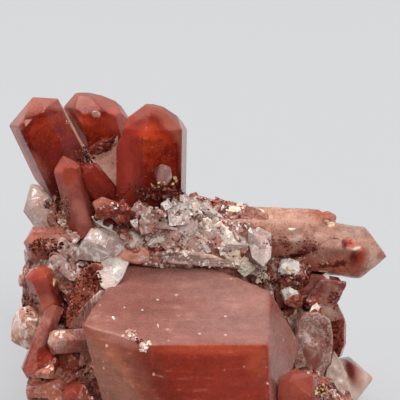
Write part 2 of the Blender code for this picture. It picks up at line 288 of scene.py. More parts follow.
class Recipe:
    """One procedural material, put together node by node, with its patterns laid out in millimetres.

    A feed is a socket or a fixed value, and patterns have scale cells to a millimetre.
    """

    def __init__(self, name: str) -> None:
        """Start a material.

        Args:
            name: the material's name.
        """
        self.material = bpy.data.materials.new(name)
        self.material.use_nodes = True
        self.tree = self.material.node_tree
        self.shader = self.tree.nodes["Principled BSDF"]
        self.place = self.mapping(self.node("TexCoord").outputs["Object"], (1 / MM,) * 3)

    def node(self, kind: str, feeds: Optional[dict] = None, **settings: object) -> bpy.types.Node:
        """Add a node.

        Args:
            kind: its type, without the ShaderNode in front.
            feeds: what goes into its inputs, by their names or numbers.
            settings: its properties.

        Returns:
            The node.
        """
        made = self.tree.nodes.new("ShaderNode" + kind)
        for key, value in settings.items():
            setattr(made, key, value)
        for key, value in (feeds or {}).items():
            self.link(value, made.inputs[key])
        return made

    def link(self, value: Feed, socket: Socket) -> None:
        """Feed a socket.

        Args:
            value: the socket or fixed value that goes in.
            socket: the input.
        """
        if isinstance(value, Socket):
            self.tree.links.new(value, socket)
        else:
            socket.default_value = (*value, 1.0) if socket.type == "RGBA" else value

    def mapping(self, vector: Feed, scale: Triple = EVEN, turn: Triple = ORIGIN, shift: Triple = ORIGIN,
                **settings: object) -> Socket:
        """Return a place scaled, turned and shifted.

        Args:
            vector: the place.
            scale: the factor along each axis.
            turn: the angles, in radians.
            shift: what is added.
            settings: the node's other properties.

        Returns:
            The place.
        """
        feeds = {"Vector": vector, "Scale": scale, "Rotation": turn, "Location": shift}
        return self.node("Mapping", feeds, **settings).outputs["Vector"]

    def within(self, zone: Zone) -> Socket:
        """Return the place measured in a zone's own radii."""
        return self.mapping(self.place, zone.radii, zone.turn, zone.centre, vector_type="TEXTURE")

    def noise(self, scale: float, detail: float = 4.0, rough: float = 0.55, warp: float = 0.0,
              stretch: Triple = EVEN, turn: Triple = ORIGIN, shift: Triple = ORIGIN) -> Socket:
        """Return a cloudy value from 0 to 1.

        Args:
            scale: how many clumps there are to a millimetre.
            detail: how many finer layers it has.
            rough: how strong those are.
            warp: how far it is distorted.
            stretch: factors of its scale along each axis.
            turn: how it is turned, in radians.
            shift: which part of the pattern it is.

        Returns:
            The value.
        """
        place = self.mapping(self.place, stretch, turn, shift)
        return self.node("TexNoise", {"Vector": place, "Scale": scale, "Detail": detail, "Roughness": rough,
                                      "Distortion": warp}).outputs["Fac"]

    def cells(self, scale: float, output: str = "Distance", feature: str = "F1") -> Socket:
        """Return the distance, colour or middle of scattered cells."""
        return self.node("TexVoronoi", {"Vector": self.place, "Scale": scale},
                         feature=feature).outputs[output]

    def step(self, value: Feed, low: float, high: float, start: float = 0.0, end: float = 1.0) -> Socket:
        """Return a smooth step from start to end as a value goes from low to high.

        Args:
            value: the value.
            low: where the step starts.
            high: where it ends.
            start: the result below it.
            end: the result above it.

        Returns:
            The result.
        """
        return self.node("MapRange", {"Value": value, "From Min": low, "From Max": high, "To Min": start,
                                      "To Max": end}, interpolation_type="SMOOTHSTEP").outputs["Result"]

    def maths(self, operation: str, *values: Feed) -> Socket:
        """Carry one arithmetic operation on from each value to the next.

        Args:
            operation: its name.
            values: the values, in order.

        Returns:
            The result.
        """
        result = values[0]
        for value in values[1:]:
            result = self.node("Math", {0: result, 1: value}, operation=operation).outputs["Value"]
        return result

    def add(self, *values: Feed) -> Socket:
        """Return the sum of values."""
        return self.maths("ADD", *values)

    def times(self, *values: Feed) -> Socket:
        """Return the product of values."""
        return self.maths("MULTIPLY", *values)

    def most(self, *values: Feed) -> Socket:
        """Return the largest of values."""
        return self.maths("MAXIMUM", *values)

    def swing(self, value: Feed, amount: float) -> Socket:
        """Return how far a value lies from its middle of 0.5, times an amount."""
        return self.times(self.maths("SUBTRACT", value, 0.5), amount)

    def blend(self, kind: str, share: Feed, first: Feed, second: Feed, **settings: object) -> Socket:
        """Return a colour between two, by a share.

        Args:
            kind: RGBA for one share, or VECTOR for a share of each channel.
            share: how much of the second there is.
            first: the colour at no share.
            second: the colour at a full share.
            settings: more properties of the node.

        Returns:
            The colour.
        """
        made = self.node("Mix", data_type=kind, **settings)
        sockets = [socket for socket in made.inputs if socket.type == kind]
        if kind == "RGBA":
            sockets.insert(0, made.inputs["Factor"])
        for value, socket in zip((share, first, second), sockets):
            self.link(value, socket)
        return next(socket for socket in made.outputs if socket.type == kind)

    def mix(self, share: Feed, first: Feed, second: Feed) -> Socket:
        """Return a colour between two, by a share."""
        return self.blend("RGBA", share, first, second)

    def scale(self, colour: Feed, amount: Feed) -> Socket:
        """Return a colour made brighter or darker by an amount."""
        return self.vector("SCALE", {0: colour, "Scale": amount}, "Vector")

    def vector(self, operation: str, feeds: dict, output: str) -> Socket:
        """Return the result of one vector operation."""
        return self.node("VectorMath", feeds, operation=operation).outputs[output]

    def ramp(self, value: Feed, stops: Stops) -> Socket:
        """Read a strip of colours.

        Args:
            value: the place along the strip.
            stops: places along it, each with its colour.

        Returns:
            The colour there.
        """
        made = self.node("ValToRGB", {"Fac": value})
        strip = made.color_ramp.elements
        while len(strip) < len(stops):
            strip.new(1.0)
        for element, (position, colour) in zip(strip, stops):
            element.position = position
            element.color = (*colour, 1.0)
        return made.outputs["Color"]

    def split(self, vector: Feed) -> bpy.types.NodeOutputs:
        """Return a place's X, Y and Z."""
        return self.node("SeparateXYZ", {"Vector": vector}).outputs

    def stored(self, name: str, output: str = "Fac") -> Socket:
        """Return a value or a colour stored on the piece's corners."""
        return self.node("Attribute", attribute_name=name).outputs[output]

    def bump(self, height: Feed, depth: float, strength: float = 1.0,
             under: Optional[Socket] = None) -> Socket:
        """Roughen the normal.

        Args:
            height: the height, from 0 to 1.
            depth: what a height of 1 is, in millimetres.
            strength: how much of it counts.
            under: the normal that is roughened, or None for the surface's own.

        Returns:
            The normal.
        """
        made = self.node("Bump", {"Height": height, "Distance": depth * MM, "Strength": strength})
        if under is not None:
            self.link(under, made.inputs["Normal"])
        return made.outputs["Normal"]

    def lay(self, under: Feed, stain: "Stain", colour: Feed, pattern: Feed, softness: float) -> Socket:
        """Lay a stain over a colour, its edge broken up by a pattern.

        Args:
            under: the colour below.
            stain: the kind of stain, whose amounts the piece stores.
            colour: the stain's colour.
            pattern: what breaks up its edge.
            softness: how soft that edge is.

        Returns:
            The colour.
        """
        edge = self.maths("SUBTRACT", self.add(self.stored(stain.value), pattern), 1.0)
        return self.mix(self.step(edge, -softness, softness), under, colour)

    def facets(self, scale: float, tilt: float) -> Socket:
        """Return the height, in millimetres, of small flat faces.

        Args:
            scale: how many there are to a millimetre.
            tilt: how steep they are, each its own way.

        Returns:
            The height.
        """
        cell = self.node("TexVoronoi", {"Vector": self.place, "Scale": scale}).outputs
        offset = self.vector("SUBTRACT", {0: self.place, 1: cell["Position"]}, "Vector")
        way = self.vector("SUBTRACT", {0: cell["Color"], 1: (0.5,) * 3}, "Vector")
        return self.times(self.vector("DOT_PRODUCT", {0: offset, 1: way}, "Value"), tilt)

    def absorb(self, colour: Colour, density: float) -> None:
        """Tint light by how far it travels inside, density per metre."""
        volume = self.node("VolumeAbsorption", {"Color": colour, "Density": density}).outputs["Volume"]
        self.link(volume, self.tree.nodes["Material Output"].inputs["Volume"])

    def set(self, **values: Feed) -> Material:
        """Feed the shader's inputs.

        Args:
            values: what goes into each, by its name with underscores for spaces.

        Returns:
            The material.
        """
        for key, value in values.items():
            self.link(value, self.shader.inputs[key.replace("_", " ")])
        return self.material


TONE = "tone"            # values stored on corners: a chip's place along its colours,
PAINT = "paint"          # a colour, with how milky it makes the quartz
MILK = "milk"            # and how milky the quartz is by itself
# How soon a haze takes over each channel of the colour, so that it fades in evenly over red iron.
HAZE_SHARES = ((0.0, ORIGIN), (0.03, (0.08, 0.60, 0.65)), (0.10, (0.25, 0.85, 0.90)),
               (0.30, (0.56, 0.96, 0.97)), (1.0, EVEN))


class Stain(str, Enum):
    """What can lie on a rough surface, by the name of the value stored for it."""

    PALE = "stain_pale"
    IRON = "stain_iron"
    CLAY = "stain_clay"
    WARM = "stain_warm"


@dataclass(frozen=True)
class ClearSkin:
    """Clear quartz under a natural face, milky where it grew last."""

    tint: Colour = (0.98, 0.86, 0.80)           # what the clear part lets through
    milk: Colour = (0.50, 0.20, 0.14)           # the milky part's colour
    haze: Pair = (0.0, 0.62)                    # over the phantom and in the milky part
    milky_side: Triple = (-0.4, 0.0, 0.9)       # where the milky part lies
    milky_from: Pair = (0.55, 0.95)             # in parts of the crystal's reach that way
    depth_colour: Colour = (0.95, 0.58, 0.45)
    density: float = 70.0
    roughness: float = 0.12
    striation: float = 0.35
    frost: float = 0.0                          # how thickly a sugary crust lies on the faces
    crust: Colour = (0.80, 0.66, 0.60)          # that crust's colour
    veils: float = 0.05
    sheen: Colour = (0.25, 0.15, 0.13)          # what its face reflects
    cracked: float = 0.0                        # how strongly its faces are broken up
    flaws: float = 0.0                          # how many bright healed cracks show in it
    flaw_colour: Colour = (0.95, 0.86, 0.80)

    def milky_part(self, points: np.ndarray) -> np.ndarray:
        """Find how milky each corner is by where it lies.

        Args:
            points: the corners in millimetres.

        Returns:
            Values from below 0 to above 1.
        """
        reach = points @ np.array(Vector(self.milky_side).normalized())
        reach = (reach - reach.min()) / max(float(np.ptp(reach)), 1e-6)
        return (reach - self.milky_from[0]) / (self.milky_from[1] - self.milky_from[0])

    def make(self, name: str, zone: Zone = Zone(ORIGIN, EVEN)) -> Material:
        """Build the material for a piece with its milky part and its daubs stored on it.

        Args:
            name: the material's name.
            zone: the crystal's own box, which its growth lines follow.

        Returns:
            The material.
        """
        dye = Recipe(name)
        cloud = dye.noise(0.45, detail=5.0, shift=(3.0, 1.0, 7.0))
        wisps = dye.noise(1.6, warp=0.6, stretch=(1.0, 1.0, 0.5), turn=zone.turn)
        dust = dye.noise(3.0, detail=5.0, rough=0.7)
        uneven = dye.add(dye.swing(cloud, 1.2), dye.swing(dust, 1.6))
        rim = dye.step(dye.add(dye.stored(MILK), uneven), 0.0, 1.0, *self.haze)
        haze = dye.add(rim, dye.step(wisps, 0.45, 0.75, 0.0, self.veils))
        sugar = dye.times(dye.step(dye.noise(3.2, detail=6.0), 0.50, 0.64), self.frost)
        daubed = dye.times(dye.stored(PAINT, "Alpha"), dye.step(cloud, 0.2, 0.6, 0.6, 1.1))
        haze = dye.maths("MINIMUM", dye.add(dye.most(haze, daubed), sugar), 1.0)
        milky = dye.scale(dye.stored(PAINT, "Color"), dye.add(dye.step(cloud, 0.3, 0.7, 0.85, 1.2),
                                                              dye.step(dust, 0.3, 0.7, -0.12, 0.12)))
        milky = dye.mix(sugar, milky, self.crust)
        if self.flaws:
            flaw = dye.times(self.flaw_pattern(dye, cloud, wisps), self.flaws)
            haze = dye.most(haze, flaw)
            milky = dye.mix(flaw, milky, self.flaw_colour)
        shares = dye.ramp(haze, HAZE_SHARES)
        colour = dye.blend("VECTOR", shares, self.tint, milky, factor_mode="NON_UNIFORM")
        lines = dye.noise(1.0, detail=3.0, stretch=(0.25, 0.25, 5.5), turn=inverse_turn(zone.turn))
        fine = dye.noise(5.0, detail=5.0, rough=0.6)
        normal = dye.bump(fine, 0.02, 0.35, dye.bump(lines, 0.05, self.striation))
        if self.cracked:
            normal = dye.bump(dye.facets(0.55, self.cracked), 1.0, 1.0, normal)
            normal = dye.bump(dye.facets(1.7, self.cracked * 0.7), 1.0, 1.0, normal)
        gloss = dye.step(fine, 0.35, 0.7, self.roughness * 0.7, self.roughness * 1.6)
        dye.absorb(self.depth_colour, self.density)
        return dye.set(Base_Color=colour, Transmission_Weight=dye.maths("SUBTRACT", 1.0, haze),
                       Roughness=gloss, IOR=QUARTZ_IOR, Specular_Tint=self.sheen, Normal=normal)

    @staticmethod
    def flaw_pattern(dye: Recipe, cloud: Socket, wisps: Socket) -> Socket:
        """Lay out healed cracks: broad sheets, fine lines and single bright panes.

        Args:
            dye: the recipe that they go into.
            cloud: where sheets lie.
            wisps: where lines and panes lie.

        Returns:
            How strongly they show, from 0 to 1.
        """
        sheet = dye.times(dye.step(dye.cells(0.30, feature="DISTANCE_TO_EDGE"), 0.16, 0.0),
                          dye.step(cloud, 0.42, 0.58))
        crack = dye.times(dye.step(dye.cells(0.75, feature="DISTANCE_TO_EDGE"), 0.10, 0.0),
                          dye.step(wisps, 0.50, 0.62))
        pane = dye.split(dye.cells(0.55, output="Color"))["X"]
        bright = dye.times(dye.step(pane, 0.72, 0.80), dye.step(wisps, 0.35, 0.55, 0.2, 0.9))
        return dye.most(crack, sheet, bright)


def inverse_turn(turn: Triple) -> Triple:
    """Return the turn that undoes a turn, for a mapping that brings an axis back to Z."""
    return tuple(Euler(turn).to_matrix().inverted().to_euler())


@dataclass(frozen=True)
class IronPhantom:
    """Red iron oxide dusted over an earlier crystal that lies inside the clear one."""

    deep: Colour = (0.15, 0.006, 0.002)
    body: Colour = (0.34, 0.018, 0.005)
    bright: Colour = (0.66, 0.085, 0.022)
    speck: Colour = (0.90, 0.36, 0.18)
    mottle: float = 1.5
    rise: Pair = (-0.9, 0.9)     # where along the crystal it turns from deep to bright

    def make(self, name: str, zone: Zone) -> Material:
        """Build the material.

        Args:
            name: the material's name.
            zone: what it is graded along, from end to end of its Z axis.

        Returns:
            The material.
        """
        dye = Recipe(name)
        cloud = dye.noise(0.30 * self.mottle, detail=6.0, rough=0.6)
        dust = dye.noise(1.9 * self.mottle, detail=5.0, rough=0.7, shift=(5.0, 2.0, 8.0))
        grade = dye.add(dye.split(dye.within(zone))["Z"], dye.swing(cloud, 2.2), dye.swing(dust, 2.2))
        colours = ((0.0, self.deep), (0.5, self.body), (1.0, self.bright))
        colour = dye.ramp(dye.step(grade, *self.rise), colours)
        spark = dye.times(dye.step(dye.cells(1.5), 0.30, 0.16),
                          dye.step(dye.noise(0.8, shift=(1.0, 9.0, 2.0)), 0.48, 0.62), 0.55)
        return dye.set(Base_Color=dye.mix(spark, colour, self.speck), Roughness=0.6, Specular_IOR_Level=0.1,
                       Normal=dye.bump(dust, 0.10, 0.6))


@dataclass(frozen=True)
class StainedRock:
    """Intergrown broken quartz stained by iron, with pale, dark and clay-filled places stored on it."""

    dark: Colour = (0.10, 0.018, 0.012)
    base: Colour = (0.34, 0.085, 0.055)
    light: Colour = (0.52, 0.24, 0.18)
    pale: Colour = (0.72, 0.52, 0.45)
    white: Colour = (0.95, 0.86, 0.79)
    iron: Colour = (0.030, 0.006, 0.005)
    clay: Colour = (0.95, 0.83, 0.62)
    warm: Colour = (0.64, 0.29, 0.20)
    roughness: float = 0.36

    def make(self, name: str) -> Material:
        """Build the material, which reads the stains stored on its piece.

        Args:
            name: the material's name.

        Returns:
            The material.
        """
        dye = Recipe(name)
        broad = dye.noise(0.22, detail=6.0, rough=0.6)
        middle = dye.noise(0.9, detail=6.0, rough=0.62, shift=(4.0, 4.0, 1.0))
        fine = dye.noise(3.4, detail=6.0, rough=0.68)
        blocks = dye.split(dye.cells(0.62, output="Color"))
        chips = dye.split(dye.cells(2.0, output="Color"))
        tone = dye.add(dye.swing(broad, 1.6), dye.swing(middle, 1.3), dye.times(blocks["X"], 0.45),
                       dye.times(chips["X"], 0.32), dye.times(dye.stored(Stain.PALE.value), 0.42))
        colour = dye.ramp(tone, [(0.0, self.dark), (0.28, self.base), (0.55, self.light),
                                 (0.80, self.pale), (1.0, self.white)])
        colour = dye.lay(colour, Stain.WARM, dye.mix(fine, self.base, self.warm), middle, 0.30)
        seam = dye.step(dye.cells(0.62, feature="DISTANCE_TO_EDGE"), 0.10, 0.0, 0.0, 0.75)
        colour = dye.mix(dye.times(seam, dye.step(middle, 0.40, 0.55)), colour, self.dark)
        grime = dye.times(dye.step(fine, 0.50, 0.58), dye.step(broad, 0.52, 0.42, 0.0, 0.85))
        colour = dye.lay(dye.mix(grime, colour, self.dark), Stain.CLAY, self.clay, middle, 0.06)
        dots = dye.step(dye.cells(2.3), 0.44, 0.30)
        spread = dye.step(dye.add(dye.stored(Stain.IRON.value), dye.swing(middle, 1.4)), 0.30, 0.62)
        colour = dye.mix(dye.times(dots, spread), colour, self.iron)
        # Painted glints: some small facets are painted near white, as if they caught the light.
        painted_glint = dye.times(dye.step(chips["Y"], 0.86, 0.92), dye.step(tone, 0.3, 0.6, 0.0, 0.8))
        normal = dye.bump(dye.facets(0.62, 0.9), 1.0)
        normal = dye.bump(dye.facets(2.0, 0.8), 1.0, 1.0, normal)
        return dye.set(Base_Color=dye.mix(painted_glint, colour, self.white), Specular_IOR_Level=0.5,
                       Roughness=dye.step(middle, 0.35, 0.7, self.roughness * 0.4, self.roughness * 1.6),
                       Normal=dye.bump(fine, 0.10, 0.5, normal))


@dataclass(frozen=True)
class PaintedQuartz:
    """Milky quartz whose colour was laid on its corners, face by face and daub by daub."""

    clear: float = 0.18
    roughness: float = 0.30
    mottle: float = 0.10         # how far the colour varies
    streaks: float = 0.25        # how strong its growth lines are
    stretch: Triple = (0.16, 0.5, 1.6)   # the lines' cells to a millimetre each way
    dust: float = 0.0            # how much pale dust lies on it
    iron: Colour = (0.13, 0.018, 0.012)
    worn: float = 0.0            # how rough its faces are
    strength: float = 0.82       # how bright its paint is
    specks: float = 0.0          # how strong its small iron specks are
    veil: Colour = (0.66, 0.44, 0.37)
    pale: Colour = (0.82, 0.62, 0.50)
    speck: Colour = (0.24, 0.05, 0.035)
    clay: Colour = (0.95, 0.84, 0.64)

    def make(self, name: str) -> Material:
        """Build the material, which reads the colour and the stains stored on its piece.

        Args:
            name: the material's name.

        Returns:
            The material.
        """
        dye = Recipe(name)
        broad = dye.noise(0.13, detail=5.0)
        middle = dye.noise(0.7, detail=6.0, rough=0.6, warp=0.4, shift=(1.0, 3.0, 8.0))
        fine = dye.noise(2.2, detail=7.0, rough=0.66, shift=(2.0, 5.0, 3.0))
        lines = dye.noise(1.0, detail=5.0, rough=0.6, stretch=self.stretch)
        shade = dye.add(dye.step(broad, 0.30, 0.72, 1.0 - self.mottle, 1.0 + self.mottle),
                        dye.step(lines, 0.35, 0.70, -self.streaks * 0.5, self.streaks * 0.5),
                        dye.step(middle, 0.3, 0.7, -self.mottle, self.mottle),
                        dye.step(fine, 0.3, 0.75, -0.07, 0.09))
        colour = dye.scale(dye.stored(PAINT, "Color"), dye.times(shade, self.strength))
        veil = dye.times(dye.step(lines, 0.56, 0.72), dye.step(middle, 0.45, 0.65, 0.0, self.streaks * 1.3))
        flecks = dye.times(dye.step(dye.cells(0.42), 0.13, 0.06),
                           dye.step(dye.noise(0.2, shift=(8.0, 1.0, 4.0)), 0.48, 0.56), 0.7)
        dusty = dye.add(flecks, dye.times(dye.step(fine, 0.56, 0.72), self.dust))
        colour = dye.mix(dusty, dye.mix(veil, colour, self.veil), self.pale)
        if self.specks:
            patch = dye.step(dye.noise(0.6, shift=(3.0, 7.0, 2.0)), 0.42, 0.58, 0.0, self.specks)
            colour = dye.mix(dye.times(dye.step(dye.cells(2.2), 0.40, 0.22), patch), colour, self.speck)
        offset = dye.maths("ABSOLUTE", dye.maths("SUBTRACT", middle, 0.5), 0.0)
        vein = dye.step(offset, 0.045, 0.015, 0.0, 0.28)
        colour = dye.lay(colour, Stain.IRON, self.iron, dye.add(dye.times(fine, 0.75), vein), 0.10)
        colour = dye.lay(colour, Stain.CLAY, self.clay, middle, 0.05)
        normal = dye.bump(fine, 0.05, 0.4, dye.bump(lines, 0.06, 0.3))
        if self.worn:
            normal = dye.bump(dye.facets(1.3, self.worn), 1.0, 1.0, normal)
        dye.absorb((0.9, 0.6, 0.5), 60.0)
        return dye.set(Base_Color=colour, Transmission_Weight=self.clear, IOR=QUARTZ_IOR,
                       Specular_Tint=(0.45, 0.32, 0.30), Specular_IOR_Level=0.3, Normal=normal,
                       Roughness=dye.step(fine, 0.3, 0.7, self.roughness * 0.8, self.roughness * 1.35))


@dataclass(frozen=True)
class TintedChip:
    """Small broken pieces, each with its own tone along a strip of colours."""

    stops: Stops
    roughness: float = 0.3
    clear: float = 0.0           # how much light goes through
    rust: float = 0.8            # how dark its rust stains are
    painted_glint: float = 0.5           # how strong its painted glints are, near white on some small facets
    sheen: Colour = EVEN

    def make(self, name: str) -> Material:
        """Build the material, which reads the tone stored on each chip.

        Args:
            name: the material's name.

        Returns:
            The material.
        """
        dye = Recipe(name)
        colour = dye.ramp(dye.add(dye.stored(TONE), dye.swing(dye.noise(1.8, detail=5.0, rough=0.6), 0.9)),
                          self.stops)
        rust = dye.noise(0.8, detail=6.0, rough=0.7, shift=(7.0, 2.0, 6.0))
        colour = dye.mix(dye.step(rust, 0.56, 0.60, 0.0, self.rust), colour, (0.17, 0.030, 0.018))
        chips = dye.split(dye.cells(2.4, output="Color"))
        # Painted glints: some small facets are painted near white, as if they caught the light.
        colour = dye.mix(dye.step(chips["X"], 0.80, 0.86, 0.0, self.painted_glint), colour, (1.0, 0.95, 0.90))
        return dye.set(Base_Color=colour, Roughness=self.roughness, Transmission_Weight=self.clear,
                       IOR=QUARTZ_IOR, Specular_Tint=self.sheen, Normal=dye.bump(dye.facets(2.4, 0.6), 1.0))


# --- The camera, and what its rays strike ---


@dataclass(frozen=True)
class Lens:
    """The camera, aimed at a point from the front."""

    target: Triple = (0.065, 3.425, 44.0)
    elevation: float = 15.0      # degrees above the horizon
    distance: float = 185.0
    focal_length: float = 99.9
    sensor: float = 36.0

    def axes(self) -> tuple[Vector, Vector, Vector]:
        """Return the directions to the right, up and forwards."""
        tilt = math.radians(self.elevation)
        return (Vector((1.0, 0.0, 0.0)), Vector((0.0, math.sin(tilt), math.cos(tilt))),
                Vector((0.0, math.cos(tilt), -math.sin(tilt))))

    def eye(self) -> Vector:
        """Return the camera's place in millimetres."""
        return Vector(self.target) - self.axes()[2] * self.distance

    def ray(self, across: float, down: float) -> tuple[Vector, Vector]:
        """Find the ray through a place in the frame.

        Args:
            across: the place's distance from the left edge.
            down: its distance from the top edge.

        Returns:
            Its start in millimetres and its direction.
        """
        right, up, forward = self.axes()
        span = self.sensor / self.focal_length
        side = (across / FRAME_SIDE - 0.5) * span
        rise = (0.5 - down / FRAME_SIDE) * span
        return self.eye(), (forward + right * side + up * rise).normalized()

    def frame_places(self, points: np.ndarray) -> np.ndarray:
        """Find where points lie in the frame.

        Args:
            points: the points in millimetres, one in each row.

        Returns:
            Across and down, one row for each.
        """
        right, up, forward = (np.array(axis) for axis in self.axes())
        offset = points - np.array(self.eye())
        unit = self.focal_length / self.sensor * FRAME_SIDE / (offset @ forward)
        middle = FRAME_SIDE / 2
        return np.stack([middle + offset @ right * unit, middle - offset @ up * unit], axis=1)

    def build(self) -> Piece:
        """Make the camera and set it as the scene's own.

        Returns:
            The camera.
        """
        data = bpy.data.cameras.new("camera")
        data.lens, data.sensor_width = self.focal_length, self.sensor
        data.clip_start, data.clip_end = 0.01, 10.0
        camera = bpy.data.objects.new("camera", data)
        bpy.context.scene.collection.objects.link(camera)
        camera.location = self.eye() * MM
        camera.rotation_euler = self.axes()[2].to_track_quat("-Z", "Y").to_euler()
        bpy.context.scene.camera = camera
        return camera


@dataclass(frozen=True)
class Strike:
    """Where a ray meets the cluster."""

    point: Vector
    normal: Vector
    piece: str


class Skin:
    """All surfaces of a set of pieces, for rays to strike."""

    def __init__(self, pieces: Iterable[Piece]) -> None:
        """Gather the pieces' faces, in millimetres.

        Args:
            pieces: the pieces.
        """
        corners: list[Vector] = []
        faces: list[tuple[int, ...]] = []
        self.owners: list[str] = []
        for piece in pieces:
            start = len(corners)
            corners.extend(Vector(row) for row in points_of(piece))
            for polygon in piece.data.polygons:
                faces.append(tuple(start + index for index in polygon.vertices))
                self.owners.append(piece.name)
        self.tree = BVHTree.FromPolygons(corners, faces)

    def strike(self, start: Vector, direction: Vector) -> Optional[Strike]:
        """Follow a ray.

        Args:
            start: where it starts.
            direction: which way it goes.

        Returns:
            What it meets first, or None.
        """
        point, normal, index, _ = self.tree.ray_cast(start, direction)
        if point is None:
            return None
        if normal.dot(direction) > 0.0:
            normal = -normal
        return Strike(point, normal, self.owners[index])


# --- Crystals ---


def own_frame(piece: Piece) -> tuple[Vector, Vector, Euler]:
    """Find a crystal's middle, its half sizes and the turn of its long axis.

    Args:
        piece: the crystal, with whole faces.

    Returns:
        The middle, the half sizes along its own axes, with its length last, and the turn.
    """
    points = points_of(piece)
    edges = [Vector(points[edge.vertices[1]] - points[edge.vertices[0]]) for edge in piece.data.edges]
    longest = max(edges, key=lambda edge: edge.length).normalized()
    along = Vector((0.0, 0.0, 0.0))
    for edge in edges:
        lean = edge.normalized().dot(longest)
        if abs(lean) > 0.97:
            along += edge * (1.0 if lean > 0.0 else -1.0)
    along.normalize()
    outward = Vector(points.mean(axis=0)) - Vector(HEART)
    if along.dot(outward) < 0.0:
        along = -along
    turn = along.to_track_quat("Z", "Y").to_euler()
    local = points @ np.array(turn.to_matrix())
    low, high = local.min(axis=0), local.max(axis=0)
    middle = turn.to_matrix() @ Vector((low + high) / 2)
    return middle, Vector((high - low) / 2), turn


def inset(places: np.ndarray, outline: Outline) -> np.ndarray:
    """Measure how far places lie inside a closed outline.

    Args:
        places: the places.
        outline: the outline's corners, in order.

    Returns:
        The distances, negative outside it.
    """
    corners = np.array(outline)
    nearest = np.full(len(places), np.inf)
    inside = np.zeros(len(places), dtype=bool)
    for first, last in zip(corners, np.roll(corners, -1, axis=0)):
        edge = last - first
        along = np.clip((places - first) @ edge / (edge @ edge), 0.0, 1.0)
        nearest = np.minimum(nearest, np.hypot(*(places - first - along[:, None] * edge).T))
        crosses = (first[1] > places[:, 1]) != (last[1] > places[:, 1])
        if edge[1]:
            meets = first[0] + (places[:, 1] - first[1]) * edge[0] / edge[1]
            inside ^= crosses & (places[:, 0] < meets)
    return np.where(inside, nearest, -nearest)


@dataclass(frozen=True)
class Daub:
    """An ellipse of a colour or a stain, as the camera frames it."""

    matter: Colour | Stain
    across: float
    down: float
    half_width: float
    half_height: float
    lean: float = 0.0            # degrees, clockwise in the frame
    strength: float = 1.0

    def weight(self, places: np.ndarray) -> np.ndarray:
        """Find how strong it is: its strength inside, falling to 0 a little outside.

        Args:
            places: places in the frame.

        Returns:
            A value for each.
        """
        turn = math.radians(self.lean)
        offset = places - np.array([self.across, self.down])
        long_way = offset[:, 0] * math.cos(turn) + offset[:, 1] * math.sin(turn)
        short_way = offset[:, 1] * math.cos(turn) - offset[:, 0] * math.sin(turn)
        distance = np.hypot(long_way / self.half_width, short_way / self.half_height)
        return self.strength * np.clip((1.45 - distance) / 0.9, 0.0, 1.0)


@dataclass(frozen=True)
class Core:
    """A phantom: the crystal's own shape, drawn in towards a point inside it."""

    scale: float = 0.80
    pivot: Triple = (0.5, 0.5, 0.35)     # in parts of the crystal's box
    finish: IronPhantom = IronPhantom()
    rough: float = 0.35
    voxel: float = 0.30


@dataclass(frozen=True)
class Crystal:
    """A clear crystal carried over from the CAD, its edges softened and its phantom sealed inside."""

    node: str
    skin: ClearSkin
    slot: Slot
    core: Optional[Core] = None
    edge: float = 0.16           # width of the bevel along its edges
    outline: Outline = ()        # of its phantom, as the camera frames it
    soft: float = 7.0            # how soft that outline is, in the frame's units
    daubs: tuple[Daub, ...] = () # milky places with a colour of their own; the left wedge's one also paints light into a shaded spot
    chips: int = 0               # how many flat chips are knocked off it
    chip_depth: float = 1.6

    def build(self, lens: Lens) -> Piece:
        """Make the crystal's skin and its phantom.

        Args:
            lens: the camera.

        Returns:
            The skin.
        """
        piece = carry_over(self.node, self.node + "_skin")
        middle, half, turn = own_frame(piece)
        if self.chips:
            chop(piece, self.chips, self.chip_depth, seed=len(self.node))
        apply_modifier(piece, "BEVEL", width=self.edge * MM, segments=2, limit_method="ANGLE",
                       angle_limit=math.radians(18.0), harden_normals=False)
        if self.outline or self.daubs:
            refine(piece, 0.7)
        if self.outline:
            milk = 0.5 - inset(lens.frame_places(points_of(piece)), self.outline) / self.soft
        else:
            milk = self.skin.milky_part(points_of(piece))
        store_values(piece, MILK, milk)
        lay_daubs(piece, lens, np.tile((*self.skin.milk, 0.0), (len(milk), 1)), self.daubs)
        smooth_by_angle(piece, 28.0)
        zone = Zone(tuple(middle), tuple(half), tuple(turn))
        settle_piece(piece, self.skin.make(self.node, zone), [self.node])
        if self.core:
            self.build_core(zone)
        return piece

    def build_core(self, zone: Zone) -> Piece:
        """Make the phantom that is sealed in the crystal.

        Args:
            zone: the ellipsoid that fills the crystal's own box.

        Returns:
            The phantom.
        """
        core = carry_over(self.node, self.node + "_phantom")
        start_edit(core)
        bpy.ops.mesh.convex_hull()
        end_edit()
        scale_about(core, self.core.scale, self.core.pivot)
        apply_modifier(core, "REMESH", mode="VOXEL", voxel_size=self.core.voxel * MM)
        relief(core, "CLOUDS", 1.6, self.core.rough, middle=0.7)
        smooth_by_angle(core, 50.0)
        return settle_piece(core, self.core.finish.make(self.node + "_iron", zone))


def paint(piece: Piece, lens: Lens, faces: Sequence[tuple[Triple, Colour]],
          daubs: Sequence[Daub]) -> None:
    """Store a colour on each corner of a piece.

    Args:
        piece: the crystal.
        lens: the camera, whose frame the daubs are given in.
        faces: outward normals, each with the colour of the faces that it fits best.
        daubs: colours laid over those.
    """
    normals = corner_normals(piece)
    directions = np.array([Vector(normal).normalized() for normal, _ in faces])
    shades = np.array([colour for _, colour in faces])
    fit = np.exp((normals @ directions.T - 1.0) * 40.0) + 1e-9
    colours = (fit / fit.sum(axis=1, keepdims=True)) @ shades
    lay_daubs(piece, lens, np.concatenate([colours, np.ones((len(colours), 1))], axis=1), daubs)


